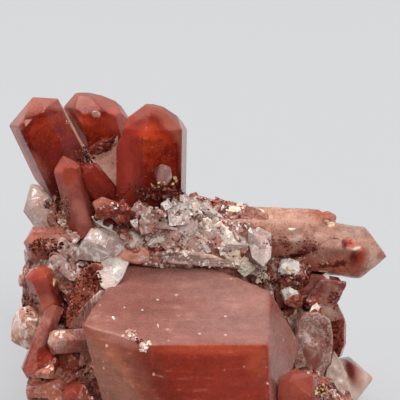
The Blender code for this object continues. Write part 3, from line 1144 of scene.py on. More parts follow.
def lay_daubs(piece: Piece, lens: Lens, colours: np.ndarray, daubs: Sequence[Daub]) -> None:
    """Store colours on a piece's corners, with daubs laid over them.

    Args:
        piece: the crystal.
        lens: the camera, whose frame the daubs are given in.
        colours: red, green, blue and how milky it is, one row for each corner.
        daubs: colours laid over those.
    """
    places = lens.frame_places(points_of(piece))
    for daub in daubs:
        weight = daub.weight(places)[:, None]
        share = weight / np.maximum(np.maximum(colours[:, 3:], weight), 1e-6)
        colours[:, :3] = colours[:, :3] * (1.0 - share) + np.array(daub.matter) * share
        colours[:, 3:] = np.maximum(colours[:, 3:], weight)
    attribute = piece.data.attributes.new(PAINT, "FLOAT_COLOR", "POINT")
    attribute.data.foreach_set("color", colours.astype(np.float32).ravel())


def corner_normals(piece: Piece) -> np.ndarray:
    """Read the outward normal at each corner.

    Args:
        piece: the piece.

    Returns:
        The normals, one in each row.
    """
    flat = np.empty(len(piece.data.vertices) * 3, dtype=np.float32)
    piece.data.vertex_normals.foreach_get("vector", flat)
    return flat.reshape(-1, 3)


STRAY_STAINS = (Stain.PALE,) * 2 + (Stain.IRON,) * 3 + (Stain.CLAY, Stain.WARM)     # by how common they are


def stain(piece: Piece, lens: Lens, blots: Sequence[Daub], scattered: int, seed: int) -> None:
    """Store on a piece how much of each stain lies on each corner.

    Args:
        piece: the rough piece.
        lens: the camera, whose frame the blots are given in.
        blots: the stains on the side that faces the camera.
        scattered: how many more stains lie on the other sides.
        seed: the seed of those.
    """
    points = points_of(piece)
    normals = corner_normals(piece)
    away = points - np.array(lens.eye())
    facing = np.clip(-(away * normals).sum(axis=1) / np.linalg.norm(away, axis=1) * 4.0 + 0.6, 0.0, 1.0)
    places = lens.frame_places(points)
    amounts = {kind: np.zeros(len(points)) for kind in Stain}
    for blot in blots:
        amounts[blot.matter] = np.maximum(amounts[blot.matter], blot.weight(places) * facing)
    draw = random.Random(seed)
    low, high = points.min(axis=0), points.max(axis=0)
    for _ in range(scattered):
        kind = draw.choice(STRAY_STAINS)
        spot = np.array([draw.uniform(low[axis], high[axis]) for axis in range(3)])
        reach = draw.uniform(2.5, 7.0) * (0.4 if kind is Stain.CLAY else 1.0)
        distance = np.linalg.norm(points - spot, axis=1)
        amount = np.clip((1.3 - distance / reach), 0.0, 0.8) * (1.0 - facing)
        amounts[kind] = np.maximum(amounts[kind], amount)
    for kind, values in amounts.items():
        store_values(piece, kind.value, values)


def refine(piece: Piece, longest: float) -> None:
    """Divide the long edges of a piece.

    Args:
        piece: the piece.
        longest: the length in millimetres that no edge is longer than in the end.
    """
    start_edit(piece)
    bpy.ops.mesh.quads_convert_to_tris(quad_method="BEAUTY", ngon_method="BEAUTY")
    end_edit()
    for _ in range(8):
        points = points_of(piece)
        long_edges = [edge.index for edge in piece.data.edges
                      if np.linalg.norm(points[edge.vertices[1]] - points[edge.vertices[0]]) > longest]
        if not long_edges:
            break
        start_edit(piece)
        bpy.ops.mesh.select_mode(type="EDGE")
        bpy.ops.mesh.select_all(action="DESELECT")
        end_edit()
        for index in long_edges:
            piece.data.edges[index].select = True
        bpy.ops.object.mode_set(mode="EDIT")
        bpy.ops.mesh.subdivide(number_cuts=1)
        bpy.ops.mesh.select_all(action="SELECT")
        bpy.ops.mesh.quads_convert_to_tris(quad_method="BEAUTY", ngon_method="BEAUTY")
        end_edit()


def scale_about(piece: Piece, scale: float, pivot: Triple) -> None:
    """Make a piece larger or smaller.

    Args:
        piece: the piece.
        scale: how much larger it becomes.
        pivot: the point that stays, in parts of the piece's box.
    """
    points = points_of(piece)
    low, high = points.min(axis=0), points.max(axis=0)
    centre = Vector(low + (high - low) * np.array(pivot))
    start_edit(piece)
    bpy.ops.transform.resize(value=(scale,) * 3, center_override=centre * MM)
    end_edit()


@dataclass(frozen=True)
class Coat:
    """The paint and the stains of one crystal."""

    faces: tuple[tuple[Triple, Colour], ...]
    daubs: tuple[Daub, ...]
    blots: tuple[Daub, ...]

    def lay(self, piece: Piece, lens: Lens, seed: int) -> None:
        """Lay the coat on a finished mesh, and shade it.

        Args:
            piece: the crystal.
            lens: the camera.
            seed: the seed of its stains.
        """
        paint(piece, lens, self.faces, self.daubs)
        stain(piece, lens, self.blots, 0, seed)
        smooth_by_angle(piece, 60.0)


@dataclass(frozen=True)
class PaintedCrystal:
    """A milky crystal whose faces differ in colour, over a painted core."""

    node: str
    slot: Slot
    coat: Coat
    skin: PaintedQuartz
    core_scale: float = 0.93
    voxel: float = 0.45
    swell: float = 0.12          # height of its growth hills

    def build(self, lens: Lens) -> Piece:
        """Make the crystal's skin and its core.

        Args:
            lens: the camera.

        Returns:
            The skin.
        """
        core = carry_over(self.node, self.node + "_core")
        scale_about(core, self.core_scale, (0.5, 0.5, 0.5))
        self.paint_piece(core, lens, self.voxel * 1.5)
        dull = PaintedQuartz(clear=0.0, roughness=0.5, mottle=0.2)
        settle_piece(core, dull.make(self.node + "_core"))
        piece = carry_over(self.node, self.node + "_skin")
        self.paint_piece(piece, lens, self.voxel)
        flatten_base(piece)
        return settle_piece(piece, self.skin.make(self.node), [self.node])

    def paint_piece(self, piece: Piece, lens: Lens, voxel: float) -> None:
        """Give a piece an even mesh, soft edges, slight hills and its paint.

        Args:
            piece: the piece.
            lens: the camera.
            voxel: the mesh's grid in millimetres.
        """
        apply_modifier(piece, "REMESH", mode="VOXEL", voxel_size=voxel * MM)
        apply_modifier(piece, "SMOOTH", factor=0.5, iterations=5)
        relief(piece, "CLOUDS", 4.0, self.swell)
        self.coat.lay(piece, lens, 1)


@dataclass(frozen=True)
class ArmRoot:
    """The broad worn crystal that the arm grows out of."""

    start: Triple = (4.5, 2.6, 37.6)
    end: Triple = (19.0, 3.6, 37.9)
    radius: float = 3.9
    taper: float = 0.80

    def build(self, lens: Lens, coat: Coat, finish: PaintedQuartz) -> Piece:
        """Make the crystal and dress it.

        Args:
            lens: the camera.
            coat: its paint and its stains.
            finish: its finish.

        Returns:
            The crystal.
        """
        start, end = Vector(self.start), Vector(self.end)
        bpy.ops.object.select_all(action="DESELECT")
        length = (end - start).length
        bpy.ops.mesh.primitive_cylinder_add(vertices=6, radius=self.radius * MM, depth=length * MM)
        piece = bpy.context.object
        piece.name = "arm_root"
        bpy.ops.object.mode_set(mode="EDIT")
        bpy.ops.mesh.select_mode(type="FACE")
        bpy.ops.mesh.select_all(action="DESELECT")
        end_edit()
        max(piece.data.polygons, key=lambda polygon: polygon.center.z).select = True
        bpy.ops.object.mode_set(mode="EDIT")
        bpy.ops.transform.resize(value=(self.taper, self.taper, 1.0))
        end_edit()
        piece.rotation_euler = (end - start).to_track_quat("Z", "X").to_euler()
        piece.location = (start + end) / 2 * MM
        pick_only(piece)
        bpy.ops.object.transform_apply(location=True, rotation=True, scale=True)
        chop(piece, 10, 0.9, seed=3)
        apply_modifier(piece, "REMESH", mode="VOXEL", voxel_size=0.3 * MM)
        apply_modifier(piece, "SMOOTH", factor=0.5, iterations=2)
        relief(piece, "CLOUDS", 3.0, 0.7)
        relief(piece, "STUCCI", 0.9, 0.15)
        coat.lay(piece, lens, 2)
        return settle_piece(piece, finish.make("arm_root"))


@dataclass(frozen=True)
class Plate:
    """A flat broken piece, its outline given as the camera frames it."""

    name: str
    outline: Outline
    plane: Optional[Triple]      # its Y in millimetres: a number, and what to add per unit across and down
    thickness: float
    finish: ClearSkin | TintedChip | PaintedQuartz
    slot: Slot
    tone: float = 0.5            # its place along its finish's colours, or how milky it is
    edge: float = 0.14
    rough: float = 0.25
    ground: Colour = (0.5, 0.3, 0.25)       # its colour, where its finish takes one from it
    daubs: tuple[Daub, ...] = ()
    blots: tuple[Daub, ...] = ()

    def build(self, lens: Lens, skin: Skin) -> Piece:
        """Make the plate in its place, or against what it covers if it has no plane, and dress it.

        Args:
            lens: the camera.
            skin: the surfaces that it may lie against.

        Returns:
            The plate.
        """
        plane = self.plane
        if plane is None:
            middle = np.array(self.outline).mean(axis=0)
            plane = (skin.strike(*lens.ray(*middle)).point.y - 0.3 * self.thickness, 0.0, 0.0)
        bpy.ops.object.select_all(action="DESELECT")
        bpy.ops.mesh.primitive_circle_add(vertices=len(self.outline), radius=MM, fill_type="NGON")
        piece = bpy.context.object
        piece.name = self.name
        corners = []
        for across, down in self.outline:
            start, direction = lens.ray(across, down)
            depth = plane[0] + plane[1] * across + plane[2] * down
            corners.append(start + direction * ((depth - start.y) / direction.y))
        set_points(piece, np.array([tuple(corner) for corner in corners]))
        start_edit(piece)
        bpy.ops.mesh.select_mode(type="FACE")
        bpy.ops.mesh.extrude_region_move(
            TRANSFORM_OT_translate={"value": lens.axes()[2] * self.thickness * MM})
        bpy.ops.mesh.select_all(action="SELECT")
        bpy.ops.mesh.normals_make_consistent(inside=False)
        end_edit()
        apply_modifier(piece, "BEVEL", width=self.edge * MM, segments=1, limit_method="ANGLE",
                       angle_limit=math.radians(30.0))
        refine(piece, 0.6)
        relief(piece, "VORONOI", 2.6, self.rough, middle=0.4)
        relief(piece, "CLOUDS", 0.9, self.rough * 0.6)
        smooth_by_angle(piece, 24.0)
        size = len(piece.data.vertices)
        store_values(piece, TONE, np.full(size, self.tone))
        store_values(piece, MILK, np.full(size, self.tone))
        ground = getattr(self.finish, "milk", self.ground)
        lay_daubs(piece, lens, np.tile((*ground, 0.0), (size, 1)), self.daubs)
        stain(piece, lens, self.blots, scattered=0, seed=1)
        return settle_piece(piece, self.finish.make(self.name))


@dataclass(frozen=True)
class Matrix3D:
    """The rough rock that the crystals stand on."""

    voxel: float = 0.42
    blots: tuple[Daub, ...] = ()
    boulders: tuple[tuple[Triple, Triple], ...] = (      # middles and half sizes of more of its rock
        ((21.5, -11.5, 4.5), (5.0, 4.5, 6.5)), ((16.5, -13.5, 3.0), (4.0, 3.5, 4.5)),
        ((24.5, -6.5, 5.5), (4.0, 4.0, 6.5)), ((19.0, -15.5, 2.0), (3.4, 3.0, 3.4)),
        ((17.5, -14.5, 8.5), (4.5, 4.5, 5.5)), ((21.0, -14.0, 7.5), (3.8, 3.5, 5.0)),
        ((-19.5, -9.5, 3.5), (3.5, 3.5, 5.0)))

    def build(self, lens: Lens) -> Piece:
        """Make the rock's broken surface and lay its stains on it.

        Args:
            lens: the camera.

        Returns:
            The rock.
        """
        rock = carry_over("matrix", "matrix_rock")
        for index, (middle, half) in enumerate(self.boulders):
            bpy.ops.object.select_all(action="DESELECT")
            bpy.ops.mesh.primitive_ico_sphere_add(subdivisions=2, radius=MM, scale=half,
                                                  location=Vector(middle) * MM)
            boulder = bpy.context.object
            bpy.ops.object.transform_apply(location=True, rotation=True, scale=True)
            chop(boulder, 9, 2.2, seed=30 + index)
            pick_only(rock)
            boulder.select_set(True)
            bpy.ops.object.join()
        apply_modifier(rock, "REMESH", mode="VOXEL", voxel_size=self.voxel * MM)
        relief(rock, "VORONOI", 3.4, 1.5, middle=0.42)
        relief(rock, "CLOUDS", 2.2, 0.6, middle=0.42)
        relief(rock, "STUCCI", 0.8, 0.22)
        flatten_base(rock)
        smooth_by_angle(rock, 32.0)
        stain(rock, lens, self.blots, scattered=90, seed=4)
        return settle_piece(rock, StainedRock().make("stained_rock"), ["matrix"])


# --- Small broken pieces ---


@dataclass(frozen=True)
class Template:
    """One small shape, about 1 mm in radius, that is copied many times."""

    corners: np.ndarray
    faces: tuple[tuple[int, ...], ...]


def take_template(piece: Piece) -> Template:
    """Read a modelled shape into a template, and remove its object.

    Args:
        piece: the shape, which is removed.

    Returns:
        The template.
    """
    corners = points_of(piece) * MM
    faces = tuple(tuple(polygon.vertices) for polygon in piece.data.polygons)
    bpy.data.objects.remove(piece, do_unlink=True)
    return Template(corners, faces)


def model_shard(seed: int, cuts: int, slim: Triple) -> Template:
    """Break a small block with a few flat cuts.

    Args:
        seed: the seed of the cuts.
        cuts: how many cuts there are.
        slim: its half sizes before it is cut.

    Returns:
        The shard's template.
    """
    draw = random.Random(seed)
    bpy.ops.object.select_all(action="DESELECT")
    bpy.ops.mesh.primitive_cube_add(size=2.0)
    piece = bpy.context.object
    bpy.ops.object.mode_set(mode="EDIT")
    for _ in range(cuts):
        normal = Vector([draw.gauss(0.0, 1.0) for _ in range(3)]).normalized()
        bpy.ops.mesh.select_all(action="SELECT")
        bpy.ops.mesh.bisect(plane_co=normal * draw.uniform(0.45, 0.80), plane_no=normal,
                            use_fill=True, clear_outer=True)
    bpy.ops.mesh.select_all(action="SELECT")
    bpy.ops.transform.resize(value=slim)
    bpy.ops.mesh.normals_make_consistent(inside=False)
    end_edit()
    return take_template(piece)


def model_grain(seed: int) -> Template:
    """Model a rough grain of ore.

    Args:
        seed: the seed of its roughness.

    Returns:
        The template.
    """
    bpy.ops.object.select_all(action="DESELECT")
    bpy.ops.mesh.primitive_ico_sphere_add(subdivisions=1, radius=1.0)
    piece = bpy.context.object
    bpy.ops.object.mode_set(mode="EDIT")
    bpy.ops.mesh.select_all(action="SELECT")
    bpy.ops.transform.vertex_random(offset=0.35, seed=seed)
    bpy.ops.mesh.normals_make_consistent(inside=False)
    end_edit()
    return take_template(piece)


class Shape(Enum):
    """The kinds of small shape."""

    SHARD = "shard"
    SPLINTER = "splinter"
    FLAKE = "flake"
    GRAIN = "grain"


class Planter:
    """Sets copies of small shapes, all in one mesh, with a tone stored for each copy."""

    def __init__(self, name: str, templates: dict[Shape, list[Template]], seed: int) -> None:
        """Start an empty mesh.

        Args:
            name: the mesh's name.
            templates: the shapes of each kind.
            seed: the seed of every draw.
        """
        self.name = name
        self.templates = templates
        self.draw = random.Random(seed)
        self.corners: list[np.ndarray] = []
        self.faces: list[tuple[int, ...]] = []
        self.tones: list[np.ndarray] = []
        self.count = 0

    def set(self, shape: Shape, spot: Vector, normal: Vector, size: float, tone: float,
            sunk: float = 0.25, flat: float = 1.0, lean: float = 0.6) -> None:
        """Set one copy on a surface.

        Args:
            shape: the kind of shape.
            spot: where it stands, in millimetres.
            normal: the surface's normal there.
            size: its radius in millimetres.
            tone: its place along its finish's colours, from 0 to 1.
            sunk: how deep it sits, in parts of its size.
            flat: its height, in parts of its width.
            lean: how far it leans off the normal, from 0 to 1.
        """
        template = self.draw.choice(self.templates[shape])
        tilt = Vector([self.draw.gauss(0.0, 1.0) for _ in range(3)]).normalized() * lean
        up = (normal + tilt).normalized()
        spin = Matrix.Rotation(self.draw.uniform(0.0, math.tau), 3, "Z")
        turn = np.array((up.to_track_quat("Z", "Y").to_matrix() @ spin))
        stretch = np.array([self.draw.uniform(0.75, 1.25), self.draw.uniform(0.75, 1.25), flat])
        place = np.array(spot - normal * size * sunk)
        corners = (template.corners * stretch * size) @ turn.T + place
        corners[:, 2] = np.maximum(corners[:, 2], 0.02)
        self.faces.extend(tuple(self.count + index for index in face) for face in template.faces)
        self.corners.append(corners)
        self.tones.append(np.full(len(corners), tone))
        self.count += len(corners)

    def finish(self, material: Material, slot: Slot) -> Optional[Piece]:
        """Join all copies in one dressed piece.

        Args:
            material: the mesh's material.
            slot: the record's slot that it stands for; not used.

        Returns:
            The piece, or None if nothing was set.
        """
        if not self.corners:
            return None
        data = bpy.data.meshes.new(self.name)
        data.from_pydata((np.concatenate(self.corners) * MM).tolist(), [], self.faces)
        piece = bpy.data.objects.new(self.name, data)
        bpy.context.scene.collection.objects.link(piece)
        store_values(piece, TONE, np.concatenate(self.tones))
        LOG.info("%s: %d small pieces", self.name, len(self.corners))
        return settle_piece(piece, material)


@dataclass(frozen=True)
class Bed:
    """An elliptical bed of small pieces, as the camera frames it."""

    across: float
    down: float
    half_width: float
    half_height: float
    count: int
    sizes: tuple[float, float]
    tones: tuple[float, float] = (0.0, 1.0)
    lean: float = 0.0
    shape: Shape = Shape.SHARD
    flat: float = 1.0
    sunk: float = 0.3
    tilt: float = 0.6
    carrier: str = ""            # how the names of the pieces that may carry it begin

    def plant(self, planter: Planter, skin: Skin, lens: Lens) -> None:
        """Set the bed's pieces on whatever the camera's rays strike.

        Args:
            planter: the mesh that they go into.
            skin: the surfaces that may carry them.
            lens: the camera.
        """
        draw = planter.draw
        turn = math.radians(self.lean)
        for _ in range(self.count):
            reach = math.sqrt(draw.random())
            angle = draw.uniform(0.0, math.tau)
            long_way = reach * math.cos(angle) * self.half_width
            short_way = reach * math.sin(angle) * self.half_height
            across = self.across + long_way * math.cos(turn) - short_way * math.sin(turn)
            down = self.down + long_way * math.sin(turn) + short_way * math.cos(turn)
            strike = skin.strike(*lens.ray(across, down))
            size = self.sizes[0] + (self.sizes[1] - self.sizes[0]) * draw.random() ** SMALL_BIAS
            tone = draw.uniform(*self.tones)
            if strike is not None and strike.piece.startswith(self.carrier):
                planter.set(self.shape, strike.point, strike.normal, size, tone, self.sunk, self.flat,
                            self.tilt)


@dataclass(frozen=True)
class Setting:
    """One piece set one by one, as the camera frames it."""

    across: float
    down: float
    size: float
    tone: float
    shape: Shape = Shape.SHARD
    flat: float = 1.0
    sunk: float = 0.35
    tilt: float = 0.35

    def plant(self, planter: Planter, skin: Skin, lens: Lens) -> None:
        """Set the piece on whatever the camera's ray strikes.

        Args:
            planter: the mesh that it goes into.
            skin: the surfaces that may carry it.
            lens: the camera.
        """
        strike = skin.strike(*lens.ray(self.across, self.down))
        if strike is not None:
            planter.set(self.shape, strike.point, strike.normal, self.size, self.tone, self.sunk,
                        self.flat, self.tilt)


def plant_around(planter: Planter, skin: Skin, count: int, shape: Shape, sizes: tuple[float, float],
                 owners: Sequence[str], clumps: int, behind: float = -0.15, **settings: float) -> None:
    """Set small pieces in clumps on the sides that the camera doesn't see.

    Args:
        planter: the mesh that they go into.
        skin: the surfaces that they stand on.
        count: how many rays are cast.
        shape: the kind of shape.
        sizes: the smallest and largest radius in millimetres.
        owners: the pieces that may carry them.
        clumps: how many clumps there are.
        behind: how far a surface must turn from the front, as the Y of its normal.
        settings: more settings of each piece.
    """
    draw = planter.draw
    for _ in range(clumps):
        height = draw.uniform(-0.5, 0.9)
        turn = draw.uniform(-0.15, math.pi + 0.15)
        ring = math.sqrt(1.0 - height * height)
        outward = Vector((ring * math.cos(turn), ring * math.sin(turn), height))
        start = Vector(HEART) + outward * 90.0
        spread = draw.uniform(2.0, 5.0)
        tone_middle = draw.random()
        for _ in range(count // clumps):
            jitter = Vector([draw.gauss(0.0, spread) for _ in range(3)])
            strike = skin.strike(start + jitter, -outward)
            if strike is None or strike.piece not in owners or strike.normal.y < behind:
                continue
            size = sizes[0] + (sizes[1] - sizes[0]) * draw.random() ** SMALL_BIAS
            tone = min(1.0, max(0.0, tone_middle + draw.uniform(-0.35, 0.35)))
            planter.set(shape, strike.point, strike.normal, size, tone, **settings)


@dataclass(frozen=True)
class Litter:
    """All small pieces of one finish: those set one by one, those in beds and those at the back."""

    name: str
    finish: TintedChip
    slot: Slot
    seed: int
    settings: tuple[Setting, ...]
    beds: tuple[Bed, ...]
    behind: int                  # how many rays are cast at the sides that the camera doesn't see
    behind_shape: Shape
    behind_sizes: tuple[float, float]
    clumps: int

    def build(self, skin: Skin, lens: Lens, templates: dict[Shape, list[Template]]) -> Piece:
        """Set all the pieces, joined in one mesh.

        Args:
            skin: the surfaces that they stand on.
            lens: the camera.
            templates: the shapes of each kind.

        Returns:
            The mesh.
        """
        planter = Planter(self.name, templates, self.seed)
        for item in self.settings + self.beds:
            item.plant(planter, skin, lens)
        owners = [name for name in sorted(set(skin.owners)) if name.startswith("matrix")]
        plant_around(planter, skin, self.behind, self.behind_shape, self.behind_sizes, owners, self.clumps)
        return planter.finish(self.finish.make(self.name), self.slot)


# --- The stage ---


@dataclass(frozen=True)
class Studio:
    """A pale floor that sweeps up behind, under soft lights."""

    shade: Colour = (0.435, 0.441, 0.452)
    half_width: float = 1600.0
    front: float = -2200.0
    back: float = 2200.0
    rise: float = 900.0
    bend: float = 300.0
    sky_behind: float = 0.90
    sky_before: float = 0.12

    def build(self) -> None:
        """Make the sweep, the lights and the sky."""
        self.build_sweep()
        self.add_lamp("top_lamp", (-0.30, 0.05, 0.95), 24.0, 2.0, (1.0, 0.985, 0.97))
        self.add_lamp("front_lamp", (0.30, -0.80, 0.60), 30.0, 1.25, (1.0, 0.99, 0.98))
        self.build_sky()
        bpy.context.scene.view_settings.view_transform = "Standard"

    def build_sky(self) -> None:
        """Make a sky that is bright above and behind, and dim in front."""
        world = bpy.data.worlds.new("sky")
        world.use_nodes = True
        tree = world.node_tree
        background = tree.nodes["Background"]
        background.inputs["Color"].default_value = (0.985, 0.99, 1.0, 1.0)
        direction = tree.nodes.new("ShaderNodeTexCoord").outputs["Generated"]
        lean = tree.nodes.new("ShaderNodeVectorMath")
        lean.operation = "DOT_PRODUCT"
        lean.inputs[1].default_value = (0.0, 0.64, 0.77)
        grade = tree.nodes.new("ShaderNodeMapRange")
        grade.interpolation_type = "SMOOTHSTEP"
        grade.inputs["From Min"].default_value = -0.6
        grade.inputs["From Max"].default_value = 0.7
        grade.inputs["To Min"].default_value = self.sky_before
        grade.inputs["To Max"].default_value = self.sky_behind
        tree.links.new(direction, lean.inputs[0])
        tree.links.new(lean.outputs["Value"], grade.inputs["Value"])
        tree.links.new(grade.outputs["Result"], background.inputs["Strength"])
        bpy.context.scene.world = world

    def build_sweep(self) -> None:
        """Make the floor, its bend and the backdrop in one sheet."""
        bpy.ops.object.select_all(action="DESELECT")
        middle = (self.front + self.back) / 2
        bpy.ops.mesh.primitive_plane_add(size=1.0, location=(0.0, middle * MM, 0.0))
        sweep = bpy.context.object
        sweep.name = "sweep"
        bpy.ops.transform.resize(value=(2 * self.half_width * MM, (self.back - self.front) * MM, 1.0))
        bpy.ops.object.transform_apply(location=True, rotation=True, scale=True)
        bpy.ops.object.mode_set(mode="EDIT")
        bpy.ops.mesh.select_mode(type="EDGE")
        bpy.ops.mesh.select_all(action="DESELECT")
        end_edit()
        for edge in sweep.data.edges:
            edge.select = all(sweep.data.vertices[index].co.y > (self.back - 1.0) * MM
                              for index in edge.vertices)
        bpy.ops.object.mode_set(mode="EDIT")
        steps = 12
        for step in range(steps):
            first = math.radians(90.0) * step / steps
            last = math.radians(90.0) * (step + 1) / steps
            forward = (math.sin(last) - math.sin(first)) * self.bend
            upward = (math.cos(first) - math.cos(last)) * self.bend
            bpy.ops.mesh.extrude_region_move(
                TRANSFORM_OT_translate={"value": (0.0, forward * MM, upward * MM)})
        bpy.ops.mesh.extrude_region_move(TRANSFORM_OT_translate={"value": (0.0, 0.0, self.rise * MM)})
        bpy.ops.mesh.select_all(action="SELECT")
        bpy.ops.mesh.normals_make_consistent(inside=False)
        end_edit()
        smooth_by_angle(sweep, 40.0)
        dye = Recipe("paper")
        fibre = dye.noise(1.2, detail=4.0)
        colour = dye.mix(dye.step(fibre, 0.3, 0.7), self.shade,
                            tuple(part * 0.985 for part in self.shade))
        sweep.data.materials.append(dye.set(Base_Color=colour, Roughness=0.9,
                                               Normal=dye.bump(fibre, 0.05, 0.2)))

    @staticmethod
    def add_lamp(name: str, source: Triple, width: float, strength: float, colour: Colour) -> None:
        """Add one broad soft lamp, so far off that it lights the whole stage alike.

        Args:
            name: the lamp's name.
            source: the direction that its light comes from.
            width: how broad it looks, in degrees.
            strength: its strength.
            colour: its colour.
        """
        data = bpy.data.lights.new(name, "SUN")
        data.angle = math.radians(width)
        data.energy = strength
        data.color = colour
        lamp = bpy.data.objects.new(name, data)
        bpy.context.scene.collection.objects.link(lamp)
        lamp.rotation_euler = Vector(source).to_track_quat("Z", "Y").to_euler()


# --- The pieces ---


def ring(*numbers: float) -> Outline:
    """Return the places of an outline, given as across and down in turn."""
    return tuple(zip(numbers[::2], numbers[1::2]))


def blots(stain: Stain, *rows: tuple) -> tuple[Daub, ...]:
    """Return blots of one stain, each row with the rest of its fields in order."""
    return tuple(Daub(stain, *row) for row in rows)


def beds(*rows: tuple, **shared: Any) -> tuple[Bed, ...]:
    """Return beds that share some fields, each row with its first fields in order."""
    return tuple(Bed(*row, **shared) for row in rows)


def hand_set(*rows: tuple, **shared: Any) -> tuple[Setting, ...]:
    """Return pieces set one by one that share some fields, each row with its first fields in order."""
    return tuple(Setting(*row, **shared) for row in rows)


# What the crystals are made of.
WINE = IronPhantom(deep=(0.11, 0.01, 0.006), body=(0.26, 0.026, 0.014), bright=(0.42, 0.065, 0.03))
BRICK = IronPhantom(deep=(0.19, 0.02, 0.01), body=(0.38, 0.055, 0.028), bright=(0.56, 0.13, 0.065))
GLOSSY = (0.55, 0.46, 0.43)
RUST = (0.3, 0.07, 0.045)
RED_SKIN = ClearSkin(milk=(0.46, 0.13, 0.08), haze=(0, 0.45), sheen=GLOSSY, roughness=0.08)
ROSE_SKIN = ClearSkin(milk=(0.5, 0.2, 0.14), haze=(0.06, 0.52), sheen=GLOSSY, roughness=0.08)
RUSTY_SKIN = ClearSkin(milk=(0.52, 0.25, 0.18), haze=(0.1, 0.55), sheen=GLOSSY, frost=0.5, crust=RUST)
PINK_SKIN = ClearSkin(tint=(0.98, 0.88, 0.83), milk=(0.56, 0.26, 0.18), haze=(0.25, 0.65), flaws=0.35,
                      sheen=(0.8, 0.7, 0.7), roughness=0.08)
PALE_SKIN = ClearSkin(tint=(0.99, 0.93, 0.9), milk=(0.66, 0.49, 0.42), haze=(0.35, 0.68), cracked=0.4,
                      flaws=0.3, depth_colour=(0.93, 0.74, 0.66), density=40, sheen=(0.9, 0.85, 0.85))
DUSTY_SKIN = ClearSkin(tint=(0.99, 0.93, 0.9), milk=(0.66, 0.46, 0.39), haze=(0.3, 0.6), cracked=0.3,
                       flaws=0.35, depth_colour=(0.93, 0.74, 0.66), density=40, sheen=(0.9, 0.85, 0.85),
                       frost=0.6, crust=RUST)
MILKY_SKIN = ClearSkin(tint=(0.99, 0.95, 0.92), milk=(0.7, 0.52, 0.45), haze=(0.5, 0.76), cracked=0.7,
                       flaws=0.85, depth_colour=(0.93, 0.8, 0.72), density=30, sheen=(0.9, 0.85, 0.85))
SMOKY_SKIN = ClearSkin(tint=(0.92, 0.8, 0.74), milk=(0.36, 0.175, 0.13), haze=(0.4, 0.66), cracked=0.4,
                       flaws=0.6, flaw_colour=(0.62, 0.46, 0.39), depth_colour=(0.8, 0.52, 0.42),
                       density=60, sheen=(0.8, 0.7, 0.7))
BROWN_SKIN = ClearSkin(tint=(0.92, 0.76, 0.68), milk=(0.34, 0.105, 0.07), haze=(0.25, 0.55), cracked=0.3,
                       depth_colour=(0.8, 0.52, 0.42), density=60, sheen=(0.7, 0.6, 0.6))
FAN_SKIN = ClearSkin(milk=(0.24, 0.086, 0.057), haze=(0, 0.68), veils=0.02, sheen=(0.09, 0.035, 0.025),
                     density=95)

